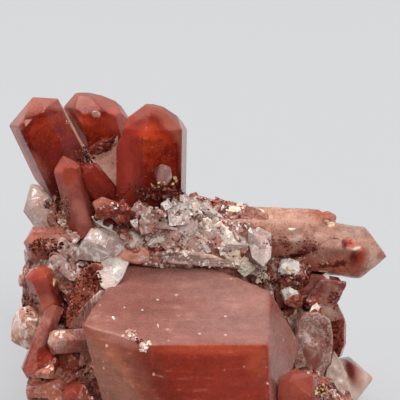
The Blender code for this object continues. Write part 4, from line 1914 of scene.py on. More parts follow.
# The clear crystals. Outlines and daubs are given as the camera frames them.
CRYSTALS = (
    Crystal("crystal_fan_left", replace(FAN_SKIN, milk=(0.31, 0.115, 0.083), haze=(0, 0.72), frost=0.08),
        Slot.RED, Core(0.86, (0.85, 0.5, 0.22)), outline=ring(27, 115, 45, 109, 61, 110, 72, 125, 90, 152,
        110, 270, 60, 270, 40, 178, 30, 158, 22, 145, 19, 130), daubs=(Daub((0.07, 0.007, 0.004), 70, 152,
        10, 22, 60, 0.8), Daub((0.42, 0.15, 0.11), 36, 168, 16, 8, 55, 0.35))),
    Crystal("crystal_fan_middle", FAN_SKIN, Slot.RED, Core(0.88, (0.5, 0.5, 0.2)), outline=ring(68, 119, 78,
        108, 92, 105, 105, 110, 120, 124, 132, 140, 150, 270, 85, 270, 74, 140),
        daubs=(Daub((0.4, 0.075, 0.045), 116, 122, 9, 11, -35, 0.5),)),
    Crystal("crystal_fan_right", FAN_SKIN, Slot.RED, Core(0.9, (0.12, 0.5, 0.15)), outline=ring(151, 113,
        159, 116, 181, 147, 187, 270, 108, 270, 113, 150, 121, 134, 135, 121),
        daubs=(Daub((0.33, 0.036, 0.02), 124, 165, 12, 42, 0, 0.55),)),
    Crystal("crystal_prism_front", ClearSkin(milk=(0.29, 0.09, 0.06), haze=(0.35, 0.6),
        sheen=(0.4, 0.28, 0.25)), Slot.ROSE, Core(0.72, (0.5, 0.6, 0.8), WINE),
        daubs=(Daub((0.4, 0.075, 0.04), 65, 174, 9, 8, 0, 0.35), Daub((0.36, 0.135, 0.1), 80, 212, 8, 20,
        -25, 0.6))),
    Crystal("crystal_prism_dark", replace(RED_SKIN, milk=(0.11, 0.022, 0.013), sheen=(0.1, 0.05, 0.04)),
        Slot.RED, Core(0.86, (0.5, 0.5, 0.4), WINE)),
    Crystal("crystal_prism_low", ROSE_SKIN, Slot.RED, Core(0.8, (0.5, 0.5, 0.5), WINE)),
    # Its daub is a pale pink patch, partly painted light, laid bright where fan_left shades the wedge.
    Crystal("crystal_wedge_left", replace(PALE_SKIN, milk=(0.62, 0.46, 0.38)), Slot.PALE,
        daubs=(Daub((0.95, 0.6, 0.48), 52, 193, 9, 7),)),
    Crystal("crystal_druse_left", replace(ROSE_SKIN, milk=(0.44, 0.165, 0.115), haze=(0.45, 0.75)),
        Slot.ROSE, Core(0.8, (0.5, 0.5, 0.5), BRICK)),
    Crystal("crystal_arm_low", replace(BROWN_SKIN, milk=(0.42, 0.16, 0.11), frost=0.45,
        crust=(0.15, 0.045, 0.03)), Slot.SMOKY, Core(0.7, (0.4, 0.5, 0.5), WINE), chips=6, chip_depth=0.8),
    Crystal("crystal_red_left", RED_SKIN, Slot.RED, Core(0.84, (0.5, 0.5, 0.4)),
        daubs=(Daub((0.5, 0.13, 0.075), 47, 306, 9, 13, -30, 0.75), Daub((0.34, 0.075, 0.04), 40, 284, 13,
        8, -30, 0.6))),
    Crystal("crystal_oblique_left", replace(ROSE_SKIN, milk=(0.42, 0.135, 0.095), haze=(0.3, 0.65),
        flaws=0.2), Slot.ROSE, Core(0.6, (0.5, 0.5, 0.5), BRICK)),
    Crystal("crystal_blob_left", PINK_SKIN, Slot.ROSE, Core(0.6, (0.6, 0.5, 0.4), BRICK)),
    Crystal("crystal_low_left", replace(RED_SKIN, milk=(0.3, 0.075, 0.045)), Slot.RED, Core(0.8,
        (0.5, 0.5, 0.4))),
    Crystal("crystal_beside_main", replace(RED_SKIN, milk=(0.18, 0.06, 0.04), haze=(0.1, 0.6),
        sheen=(0.3, 0.2, 0.18)), Slot.ROSE, Core(0.8, (0.5, 0.5, 0.4), WINE)),
    Crystal("block_red_left", replace(RED_SKIN, milk=(0.38, 0.085, 0.05), haze=(0.15, 0.55)), Slot.RED,
        Core(0.8, (0.5, 0.5, 0.4), WINE), chips=8),
    Crystal("block_white_left", replace(MILKY_SKIN, milk=(0.7, 0.36, 0.25), frost=0.45,
        crust=(0.42, 0.12, 0.07)), Slot.PALE, chips=8, chip_depth=0.9),
    Crystal("block_clear_front", MILKY_SKIN, Slot.PALE, chips=9, chip_depth=0.6),
    Crystal("block_cleavage", MILKY_SKIN, Slot.PALE, chips=6, chip_depth=0.6),
    Crystal("block_grey_arm", replace(PALE_SKIN, cracked=0.12, flaws=0.5), Slot.PALE, chips=7,
        chip_depth=0.7),
    Crystal("block_brown_right", SMOKY_SKIN, Slot.SMOKY, chips=7, chip_depth=0.6),
    Crystal("block_slab_right", BROWN_SKIN, Slot.SMOKY, chips=5, chip_depth=0.5),
    Crystal("block_flake_right", PALE_SKIN, Slot.PALE, chips=6, chip_depth=0.6),
    Crystal("crystal_back_centre", RED_SKIN, Slot.RED, Core(0.84, (0.45, 0.2, 0.2))),
    Crystal("crystal_back_left", RUSTY_SKIN, Slot.ROSE, Core(0.82, (0.6, 0.3, 0.3), WINE)),
    Crystal("crystal_back_right", ROSE_SKIN, Slot.ROSE, Core(0.82, (0.4, 0.3, 0.3))),
    Crystal("crystal_back_low", DUSTY_SKIN, Slot.PALE, Core(0.6, (0.5, 0.3, 0.3), WINE)),
    Crystal("crystal_back_low_right", RED_SKIN, Slot.RED, Core(0.8, (0.5, 0.3, 0.3))),
    Crystal("crystal_back_small", RED_SKIN, Slot.RED, Core(0.8, (0.5, 0.3, 0.3), WINE)),
    Crystal("crystal_back_upper", RUSTY_SKIN, Slot.ROSE, Core(0.8, (0.5, 0.3, 0.3), BRICK)),
    Crystal("crystal_back_twin", DUSTY_SKIN, Slot.PALE),
    Crystal("crystal_side_left", ROSE_SKIN, Slot.ROSE, Core(0.82, (0.6, 0.3, 0.3), WINE)),
    Crystal("crystal_side_left_low", RUSTY_SKIN, Slot.ROSE, Core(0.75, (0.6, 0.3, 0.3))),
    Crystal("crystal_side_right", DUSTY_SKIN, Slot.PALE, Core(0.6, (0.4, 0.3, 0.3), BRICK)),
    Crystal("crystal_side_right_low", RED_SKIN, Slot.RED, Core(0.8, (0.4, 0.3, 0.3))),
)

# The painted crystals: the colours of faces by their outward normals, then the daubs laid over them.
MAIN_FACES = (
    ((0, -0.242, 0.97), (0.4, 0.165, 0.135)),            # top
    ((0, -0.79, 0.613), (0.255, 0.02, 0.007)),           # red end
    ((-0.32, -0.84, 0.44), (0.21, 0.035, 0.022)),        # strip at the left of the red end
    ((-0.675, -0.734, -0.084), (0.37, 0.138, 0.092)),    # brown end on the left
    ((-0.913, 0.304, -0.274), (0.36, 0.125, 0.088)),     # left side
    ((-0.746, 0.081, 0.662), (0.38, 0.13, 0.1)),         # thin strip along the top
    ((0.85, -0.18, 0.47), (0.4, 0.155, 0.125)),          # right side
    ((0.925, -0.285, 0.253), (0.43, 0.15, 0.117)),       # right end
    ((0.865, -0.144, -0.48), (0.3, 0.1, 0.08)),          # under the right end
    ((0.607, 0.717, 0.342), (0.36, 0.15, 0.12)),         # broken back corner
    ((0, -0.97, -0.24), (0.28, 0.035, 0.02)),            # blunt front
    ((0, -0.41, -0.91), (0.24, 0.04, 0.025)),            # under the front
    ((0, 0.97, 0.242), (0.4, 0.2, 0.16)),                # back
)
MAIN_DAUBS = (
    Daub((0.33, 0.115, 0.09), 128, 308, 36, 30, 0, 0.55),
    Daub((0.5, 0.25, 0.21), 215, 287, 50, 14, 14, 0.55),
    Daub((0.46, 0.22, 0.185), 240, 320, 44, 18, 0, 0.5),
    Daub((0.3, 0.2, 0.17), 205, 262, 42, 4, 8, 0.6),
    Daub((0.56, 0.21, 0.15), 136, 266, 14, 6, 0, 0.7),
    Daub((0.4, 0.07, 0.045), 277, 302, 8, 11, 50, 0.6),
    Daub((0.46, 0.162, 0.098), 112, 372, 20, 46, -28, 0.85),
    Daub((0.26, 0.078, 0.052), 141, 378, 8, 40, -26, 0.7),
    Daub((0.46, 0.19, 0.155), 120, 338, 26, 6, 20, 0.6),
    # A lighter red band along the red end's top edge: a painted highlight on the rounded edge.
    Daub((0.5, 0.075, 0.03), 212, 349, 62, 5, 0, 0.7),
    Daub((0.46, 0.075, 0.028), 258, 362, 11, 14, 0, 0.6),
    Daub((0.22, 0.02, 0.008), 200, 392, 52, 12, 0, 0.5),
    Daub((0.26, 0.035, 0.025), 153, 357, 6, 8, 0, 0.8),
)
ARM_FACES = (
    ((0, 0.2, 0.98), (0.5, 0.265, 0.2)),
    ((0, -0.9, 0.4), (0.5, 0.235, 0.17)),
    ((0, -0.8, -0.6), (0.5, 0.15, 0.095)),
    ((0, 1, 0), (0.4, 0.17, 0.12)),
    ((0.9, 0, 0.3), (0.56, 0.28, 0.21)),
    ((0, 0, -1), (0.28, 0.09, 0.06)),
)
ARM_DAUBS = (
    Daub((0.72, 0.4, 0.29), 272, 214, 36, 10, 6, 0.8),
    Daub((0.36, 0.22, 0.19), 228, 203, 20, 4, 6, 0.6),
    Daub((0.5, 0.13, 0.085), 322, 214, 9, 6, 20, 0.8),
    Daub((0.62, 0.34, 0.26), 322, 232, 16, 7, 15, 0.6),
    Daub((0.42, 0.265, 0.215), 352, 231, 14, 8, 22, 0.85),
    Daub((0.52, 0.27, 0.21), 312, 246, 30, 9, 0, 0.6),
    Daub((0.58, 0.42, 0.37), 296, 238, 6, 6, 20, 0.6),
    Daub((0.66, 0.38, 0.3), 371, 246, 9, 5, 40, 0.8),
    Daub((0.78, 0.5, 0.4), 371, 260, 7, 9, 0, 0.9),
    Daub((0.62, 0.2, 0.12), 365, 255, 4.5, 9, 8, 0.8),
    Daub((0.46, 0.045, 0.015), 360, 258, 4.5, 8, 12),
    Daub((0.17, 0.02, 0.012), 353.5, 258, 4, 8, 8, 0.95),
    Daub((0.66, 0.24, 0.16), 355, 243.5, 4, 3.6, 0, 0.85),
    Daub((0.46, 0.045, 0.015), 350, 243.5, 3.6, 4.2),
    Daub((0.13, 0.012, 0.008), 344.8, 244, 2.4, 5.2),
    Daub((0.95, 0.78, 0.66), 356.5, 248.3, 4.2, 1.4, -20),
    Daub((0.5, 0.17, 0.1), 382, 256, 4, 5, 0, 0.6),
    Daub((0.72, 0.45, 0.37), 378, 263, 6, 3, -35, 0.8),
    Daub((0.46, 0.12, 0.07), 352, 272, 20, 2.6, 0, 0.8),
    Daub((0.6, 0.28, 0.2), 330, 275, 24, 2.4, 0, 0.7),
)
ARM_BLOTS = (
    blots(Stain.IRON, (262, 236, 16, 9, 20, 0.66), (283, 240, 12, 5, 60, 0.6), (303, 252, 24, 5, -25, 0.64),
        (336, 264, 20, 4, -6, 0.66), (334, 238.5, 9, 1.2, 0, 0.62), (343, 244, 1.6, 8, 0, 0.62),
        (235, 202, 26, 3, 4, 0.7))
    + blots(Stain.CLAY, (331, 224, 6, 3, 25, 0.62), (292, 229, 6, 1.6, 0, 0.66), (323, 272, 8, 2, 10, 0.6))
)
ARM_COAT = Coat(ARM_FACES, ARM_DAUBS, ARM_BLOTS)
ARM_FINISH = PaintedQuartz(clear=0.15, roughness=0.28, mottle=0.14, streaks=0.12, dust=0.1, worn=0.25,
                           specks=0.6, strength=0.9)
CORNER_COAT = Coat(
    (((0.4, -0.6, 0.6), (0.8, 0.6, 0.5)), ((0.9, -0.3, 0.2), (0.78, 0.55, 0.46)),
     ((0, -0.9, 0.1), (0.78, 0.59, 0.49)), ((0, 0, 1), (0.8, 0.6, 0.5)), ((0, 0.9, 0), (0.56, 0.33, 0.27))),
    (Daub((0.42, 0.12, 0.08), 354, 372, 7, 17, -16, 0.8), Daub((0.13, 0.01, 0.006), 350, 370, 5, 13, -14),
     Daub((0.7, 0.36, 0.28), 371, 380, 3, 12, 0, 0.7)), ())
PAINTED = (
    PaintedCrystal("crystal_main", Slot.ROSE, Coat(MAIN_FACES, MAIN_DAUBS, ()),
                   PaintedQuartz(clear=0.1, roughness=0.25, mottle=0.1, streaks=0.22, strength=0.79)),
    PaintedCrystal("crystal_arm", Slot.ROSE, ARM_COAT, ARM_FINISH, core_scale=0.9, voxel=0.3, swell=0.5),
    PaintedCrystal("crystal_corner", Slot.PALE, CORNER_COAT,
                   PaintedQuartz(clear=0.2, roughness=0.15, mottle=0.08, streaks=0, strength=0.95),
                   core_scale=0.8, voxel=0.3, swell=0.1),
)

# The stains on the matrix.
BLOTS = (
    blots(Stain.PALE, (62, 250, 24, 20), (184, 226, 50, 24, 0, 0.45), (205, 257, 34, 5, 8, 0.8),
        (104, 160, 12, 28, 20))
    + blots(Stain.WARM, (180, 228, 50, 24, 0, 0.6), (135, 256, 18, 8, 0, 1.3), (262, 218, 24, 12),
        (80, 290, 32, 20, -45, 0.9), (62, 375, 38, 26, 0, 1.2), (62, 212, 10, 16, 0, 1.2),
        (30, 304, 10, 12, 0, 1.2))
    + blots(Stain.IRON, (122, 215, 22, 9, 0, 0.6), (80, 290, 32, 18, -45, 0.7), (30, 303, 9, 11, 0, 0.6),
        (290, 284, 22, 9, 0, 0.6), (322, 392, 14, 12, 0, 0.8))
    + blots(Stain.CLAY, (246, 267, 24, 4, 28, 0.9), (210, 229, 26, 4, 10, 0.6), (234, 209, 8, 4, 0, 0.7))
)

# What the small pieces are made of.
PALE_CHIP = TintedChip(((0, (0.5, 0.28, 0.22)), (0.5, (0.78, 0.62, 0.55)), (1, (1, 0.95, 0.9))),
                       roughness=0.15, clear=0.2, rust=0.85, painted_glint=0.8)
ROSE_CHIP = TintedChip(((0, (0.34, 0.09, 0.06)), (0.5, (0.55, 0.25, 0.19)), (1, (0.8, 0.52, 0.44))),
                       roughness=0.18, clear=0.15, rust=0.9, painted_glint=0.6)
DARK_CHIP = TintedChip(((0, (0.06, 0.01, 0.007)), (0.6, (0.22, 0.034, 0.02)), (1, (0.48, 0.1, 0.05))),
                       roughness=0.3, painted_glint=0.15, sheen=(0.5, 0.3, 0.3))
ORE_GRAIN = TintedChip(((0, (0.022, 0.004, 0.003)), (0.6, (0.13, 0.022, 0.014)), (1, (0.42, 0.11, 0.065))),
                       roughness=0.65, painted_glint=0.1, sheen=(0.12, 0.05, 0.04))
CREAM_CRUMB = TintedChip(((0, (0.9, 0.58, 0.36)), (0.5, (1, 0.83, 0.66)), (1, (1, 0.94, 0.86))),
                         roughness=0.8, rust=0.2, painted_glint=0)
GOLD_FLECK = TintedChip(((0, (0.5, 0.28, 0.08)), (1, (0.92, 0.7, 0.3))), roughness=0.35, rust=0.2)
WHITE_BLOCK = TintedChip(((0, (1, 0.76, 0.62)), (1, (1, 0.95, 0.88))), roughness=0.8, rust=0.12, painted_glint=0,
                         sheen=(0.3, 0.25, 0.2))

# Thin plates and slivers. A plane of None lies against what the plate covers.
PLATES = (
    Plate("plate_between_fans", ring(60, 102, 68, 116, 79, 137, 88, 151.5, 98, 155, 106, 150, 118, 135, 117,
        188, 107, 179.5, 96, 166.5, 84, 151, 77, 139, 66, 117), (24.6, -0.0323, -0.0787), 0.8,
        replace(PALE_SKIN, milk=(0.56, 0.29, 0.21), haze=(0.4, 0.8), flaws=0.1, cracked=0, frost=0.3,
        crust=RUST), Slot.PALE, 0.8, 0.1, 0.06),
    Plate("inclined_plane", ring(66, 328, 66, 312, 70, 298, 76, 285, 84, 272, 93, 263, 103, 265, 103, 280,
        97, 296, 88, 310, 78, 322), (0.13, 0, -0.0133), 2.2, PaintedQuartz(clear=0, mottle=0.2, specks=0.9,
        stretch=(1.2, 0.5, 0.25), streaks=0.35), Slot.ROSE, 0.5, 0.2, 0.15, (0.66, 0.25, 0.18),
        (Daub((0.52, 0.13, 0.08), 74, 308, 14, 16, 0, 0.8), Daub((0.42, 0.1, 0.06), 92, 276, 8, 9, 0, 0.7)),
        blots(Stain.IRON, (92, 275, 8, 9, 0, 0.72), (73, 310, 11, 15, 0, 0.62))),
    Plate("striated_ridge", ring(68, 329, 74, 317, 88, 301, 101, 290, 106, 291, 103, 300, 90, 316, 80, 330),
        (-4.9, 0, 0), 2.4, PaintedQuartz(clear=0.1, mottle=0.2, stretch=(2.6, 0.4, 0.4), streaks=1,
        dust=0.3), Slot.ROSE, 0.5, 0.2, 0.25, (0.46, 0.21, 0.165), (Daub((0.8, 0.56, 0.46), 98, 296, 6, 2.5,
        -45),)),
    Plate("cleavage_block", ring(96, 272, 104, 259, 117, 257, 129, 263, 122, 279, 110, 293, 101, 287),
        (29, 0, -0.12), 3.4, replace(MILKY_SKIN, milk=(0.95, 0.76, 0.67), flaws=0.6, cracked=0.5),
        Slot.PALE, 0.9, 0.12, 0.25, daubs=(Daub((0.98, 0.86, 0.78), 118, 270, 6, 7), Daub((0.66, 0.5, 0.44),
        106, 268, 5, 5))),
    Plate("ridge_slab", ring(164, 203, 172, 197.5, 186, 199, 199, 205, 204, 211, 194, 215, 176, 212),
        (4.8, 0.063, -0.08), 2.4, replace(PALE_SKIN, milk=(0.46, 0.35, 0.31), flaws=0.8), Slot.PALE, 0.7,
        0.3, 0.3),
    Plate("thin_plate", ring(91, 216, 97, 216.5, 108, 221, 119, 231, 116, 234, 104, 228, 94, 221),
        (-0.8, 0, 0), 1, PALE_CHIP, Slot.PALE, 0.8, 0.1, 0.15),
    Plate("white_block_upper", ring(278, 267, 284, 261, 296, 262, 299, 269, 293, 275, 281, 275), (1, 0, 0),
        2.4, WHITE_BLOCK, Slot.PALE, 0.9, 0.25, 1.1),
    Plate("white_block_lower", ring(281, 292, 289, 287.5, 300, 294, 299, 302, 285, 304), (0.6, 0, 0), 1.9,
        WHITE_BLOCK, Slot.PALE, 0.9, 0.25, 1.1),
    Plate("fan_chip", ring(154, 168, 161, 164, 170, 167, 172.5, 177, 166, 186, 156.5, 183), None, 1,
        replace(PALE_SKIN, milk=(0.33, 0.19, 0.17), haze=(0.4, 0.75), flaws=0.35, sheen=(0.6, 0.5, 0.5)),
        Slot.PALE, 0.8, 0.15, 0.3),
    Plate("fan_middle_chip", ring(91, 112, 96, 110, 101, 113, 100, 117, 95, 119, 91, 116), None, 0.5,
        replace(PALE_SKIN, milk=(0.5, 0.26, 0.21), haze=(0.4, 0.75), sheen=(0.6, 0.5, 0.5)), Slot.PALE, 0.8,
        0.3, 0.1),
    Plate("salmon_patch", ring(112, 253, 120, 246, 135, 245, 151, 251, 150, 262, 134, 264, 118, 262), None,
        1.6, PaintedQuartz(clear=0.1, mottle=0.2, dust=0.3, worn=0.5, strength=1), Slot.ROSE, 0.5, 0.35,
        0.4, (0.8, 0.36, 0.26)),
    Plate("grey_striated_plate", ring(158, 253, 172, 250, 200, 252, 226, 260, 238, 268, 205, 266, 170, 263),
        (-1.3, 0, 0), 2.2, PaintedQuartz(clear=0.1, mottle=0.2, stretch=(0.3, 0.5, 3.2), streaks=0.8,
        dust=0.5, strength=1), Slot.PALE, 0.5, 0.2, 0.5, (0.68, 0.46, 0.39), (Daub((0.34, 0.22, 0.2), 190,
        259, 22, 3, 8, 0.8),)),
    Plate("grey_glass", ring(247, 237, 255, 229, 265, 236, 272, 246, 271, 258, 263, 267, 252, 258),
        (16.6, 0, -0.072), 2.6, replace(PALE_SKIN, milk=(0.64, 0.47, 0.4), flaws=0.4, cracked=0.15),
        Slot.PALE, 0.7, 0.12, 0.1, daubs=(Daub((0.82, 0.66, 0.6), 260, 240, 7, 6),)),
    Plate("brown_glass", ring(296, 340, 299, 324, 303, 315, 318, 313, 329, 320, 332, 336, 330, 362, 322,
        379, 306, 380, 296, 372, 293, 356), (-3.4, 0, 0), 4, replace(SMOKY_SKIN, milk=(0.33, 0.175, 0.135),
        frost=0.5, crust=(0.6, 0.45, 0.38), flaws=0.7, flaw_colour=(0.8, 0.66, 0.58)), Slot.SMOKY, 0.7, 0.1,
        0.5, daubs=(Daub((0.72, 0.55, 0.48), 309, 340, 8, 2.2, 60, 0.8), Daub((0.72, 0.55, 0.48), 318, 352,
        8, 2.2, 40, 0.8), Daub((0.6, 0.42, 0.36), 306, 368, 9, 3, 0, 0.7), Daub((0.26, 0.11, 0.08), 322,
        336, 6, 9, 0, 0.7))),
    Plate("right_spur", ring(311, 292, 321, 280, 333, 281, 346.5, 282.5, 341, 294, 336, 303, 341, 312, 344,
        318, 335, 322, 320, 319, 310, 309), (0.2, 0, 0), 3.6, replace(BROWN_SKIN, milk=(0.25, 0.11, 0.078),
        haze=(0.35, 0.65), flaws=0.35, cracked=0.3, frost=0.4, crust=(0.17, 0.045, 0.03),
        flaw_colour=(0.62, 0.42, 0.36)), Slot.SMOKY, 0.5, 0.1, 0.5, daubs=(Daub((0.14, 0.03, 0.02), 338,
        298, 4, 14, 30, 0.8), Daub((0.44, 0.27, 0.21), 324, 311, 12, 6, 0, 0.8), Daub((0.3, 0.15, 0.11),
        326, 296, 9, 6, 0, 0.6), Daub((0.12, 0.03, 0.02), 312, 288, 8, 6, 0, 0.7))),
    Plate("druse_between_fans", ring(87, 150, 96, 142, 108, 138, 117.5, 132, 113, 146, 106, 152, 98, 157),
        (9, 0, 0), 1.4, PaintedQuartz(clear=0, roughness=0.6, mottle=0.3, specks=0.9, streaks=0.1,
        worn=0.6), Slot.RED, 0.5, 0.5, 1, (0.2, 0.022, 0.012)),
    Plate("pale_flake", ring(334, 351, 340, 360, 346, 373, 346, 388, 344, 404, 326, 404, 323, 388, 327,
        369), (19.6, 0, -0.06), 2.6, replace(PALE_SKIN, milk=(0.64, 0.5, 0.41), flaws=0.3, cracked=0.1),
        Slot.PALE, 0.9, 0.15, 0.15),
    Plate("low_left_block", ring(37, 388, 50, 384, 64, 387, 64, 406, 37, 406), (-8.2, 0, 0), 3.6,
        PaintedQuartz(clear=0.1, mottle=0.25, specks=0.5, streaks=0.6), Slot.ROSE, 0.5, 0.5, 0.4,
        (0.27, 0.078, 0.05)),
    Plate("low_middle_block", ring(76, 373, 84, 369, 94, 371, 97, 381, 88, 387, 78, 384), (-7.4, 0, 0), 3,
        replace(ROSE_SKIN, milk=(0.46, 0.19, 0.14), haze=(0.3, 0.6), cracked=0.4), Slot.ROSE, 0.7, 0.4,
        0.3),
    Plate("low_red_block", ring(55, 357, 66, 350, 80, 351, 85, 361, 75, 372, 60, 370), (-5.6, 0, 0), 3,
        replace(RED_SKIN, milk=(0.34, 0.1, 0.06), haze=(0.2, 0.6), cracked=0.4), Slot.RED, 0.6, 0.5, 0.4),
)

# The shards, then the grains that lie on them, with what they are made of.
GLASS_CHIP = TintedChip(((0, (0.5, 0.21, 0.16)), (0.5, (0.74, 0.44, 0.37)), (1, (0.98, 0.84, 0.76))),
                        roughness=0.07, clear=0.3, rust=0.9, painted_glint=0.8)
RED_GLASS = TintedChip(((0, (0.34, 0.05, 0.026)), (0.5, (0.6, 0.16, 0.09)), (1, (0.8, 0.38, 0.27))),
                       roughness=0.09, clear=0.25, rust=0.7, painted_glint=0.2)
SHARDS = (
    Litter("glass_shards", GLASS_CHIP, Slot.PALE, 7,
        (*hand_set((146, 214, 2.4, 0.3), sunk=0.3),
        *hand_set((158, 226, 2.6, 0.6), shape=Shape.SPLINTER, sunk=0.2),
        *hand_set((171, 222, 2.4, 0.5), (184, 228, 2.5, 0.7), (172, 240, 2.2, 0.4), (198, 240, 2.3, 0.5),
            (214, 236, 2.2, 0.6), sunk=0.3),
        *hand_set((227, 237, 2, 0.3), (240, 228, 1.6, 0.2), sunk=0.4),
        *hand_set((150, 238, 1.8, 0.8), (136, 232, 1.8, 0.9), (212, 214, 1.8, 0.9), sunk=0.3),
        *hand_set((62, 265, 2.2, 0.5), (70, 250, 2.2, 0.5), (32, 264, 2.4, 0.5), sunk=0.4)),
        beds((186, 230, 46, 17, 26, (0.8, 1.9), (0.1, 0.9)), sunk=0.45), 260, Shape.SHARD, (0.5, 1.8), 12),
    Litter("red_glass_shards", RED_GLASS, Slot.RED, 8,
        hand_set((50, 384, 2.6, 0.4), (58, 368, 2.2, 0.5), (74, 362, 2.8, 0.3), (88, 360, 2.4, 0.8),
            (90, 376, 2.2, 0.9), (44, 372, 2, 0.6), (98, 388, 2, 0.4), (54, 396, 2.8, 0.5),
            (72, 376, 2.4, 0.1), (84, 396, 2.4, 0.2), sunk=0.4),
        (*beds((64, 372, 32, 26, 60, (0.6, 1.9)), sunk=0.5, carrier="matrix"),
        *beds((312, 306, 22, 12, 26, (0.5, 1.4), (0, 0.6)), sunk=0.5),
        *beds((128, 214, 24, 9, 16, (0.6, 1.5), (0, 0.5)), (314, 378, 14, 12, 16, (0.6, 1.6), (0, 0.5)),
            sunk=0.5, carrier="matrix")), 380, Shape.SHARD, (0.5, 1.5), 16),
    Litter("pale_shards", PALE_CHIP, Slot.PALE, 1,
        (*hand_set((182, 206, 2.6, 0.3), shape=Shape.FLAKE, sunk=0.1),
        *hand_set((170, 226, 1.7, 0.4), (186, 238, 1.5, 0.5), (197, 206, 1.1, 0.95), (215, 222, 1.1, 0.8),
            (148, 213, 1.4, 0.5), (163, 237, 1.6, 0.7), (222, 232, 1.5, 0.6), (232, 242, 1.9, 0.5)),
        *hand_set((205, 215, 1.3, 1), shape=Shape.FLAKE),
        *hand_set((253, 244, 2.6, 0.6), shape=Shape.SPLINTER),
        *hand_set((134, 222, 0.8, 0.7), (194, 219, 1.4, 0.6), (178, 215, 1.5, 0.5), (206, 247, 1.2, 0.8)),
        *hand_set((140, 282, 0.3, 1), (179, 302, 0.3, 1), (123, 308, 0.3, 1), shape=Shape.FLAKE),
        *hand_set((113, 318, 0.4, 0.8), (142, 310, 0.3, 1), (158, 326, 0.3, 1))),
        (*beds((180, 226, 48, 22, 60, (0.3, 1)), (182, 205, 18, 6, 20, (0.5, 1.4), (0.3, 0.8)), sunk=0.5),
        *beds((176, 262, 50, 3, 60, (0.2, 0.7), (0, 0.6), 3), sunk=0.6),
        *beds((62, 250, 22, 18, 16, (0.4, 1.5)), sunk=0.55, carrier="matrix"),
        *beds((300, 262, 26, 10, 12, (0.2, 0.6)), sunk=0.5),
        *beds((40, 335, 22, 24, 10, (0.3, 1)), sunk=0.6, carrier="matrix")), 400, Shape.SHARD, (0.4, 1.7),
            14),
    Litter("rose_shards", ROSE_CHIP, Slot.ROSE, 2,
        (*hand_set((157, 214, 2, 0.6), shape=Shape.SPLINTER),
        *hand_set((150, 227, 1.5, 0.6), (141, 208, 1.4, 0.35), (167, 212, 1.3, 0.7), (176, 238, 1.6, 0.6),
            (205, 238, 1.5, 0.7), (220, 241, 1.6, 0.5), (237, 231, 1.8, 0.7), (243, 251, 1.4, 0.4),
            (196, 226, 1.3, 0.9))),
        (*beds((180, 232, 48, 19, 80, (0.4, 1.4)), sunk=0.55),
        *beds((296, 268, 30, 16, 30, (0.2, 0.8)), sunk=0.55, carrier="matrix"),
        *beds((132, 335, 8, 5, 34, (0.2, 0.5), (0.6, 1), 35), (144, 347, 5, 5, 16, (0.2, 0.45), (0.3, 1)),
            shape=Shape.GRAIN),
        *beds((50, 340, 30, 40, 24, (0.3, 1.2)), sunk=0.6, carrier="matrix")), 600, Shape.SHARD, (0.4, 1.5),
            18),
    Litter("dark_shards", DARK_CHIP, Slot.RED, 3,
        hand_set((187, 221, 2, 0.8), (224, 208, 1.1, 0.3), (120, 217, 1.6, 0.7), (104, 214, 1.3, 0.6),
            (213, 202, 0.7, 1.1), (133, 212, 1.2, 0.8), (193, 229, 1.2, 0.6)),
        (*beds((180, 233, 50, 21, 50, (0.3, 1.1), (0.2, 1)), sunk=0.5),
        *beds((118, 216, 22, 10, 40, (0.3, 1.1))),
        *beds((50, 345, 30, 45, 30, (0.3, 1.1)), sunk=0.5, carrier="matrix"),
        *beds((80, 296, 28, 11, 36, (0.25, 0.5), (0.6, 1.2), -52), sunk=0.5),
        *beds((300, 282, 26, 14, 40, (0.2, 0.9)), sunk=0.5, carrier="matrix")), 300, Shape.SHARD,
            (0.4, 1.3), 12),
)
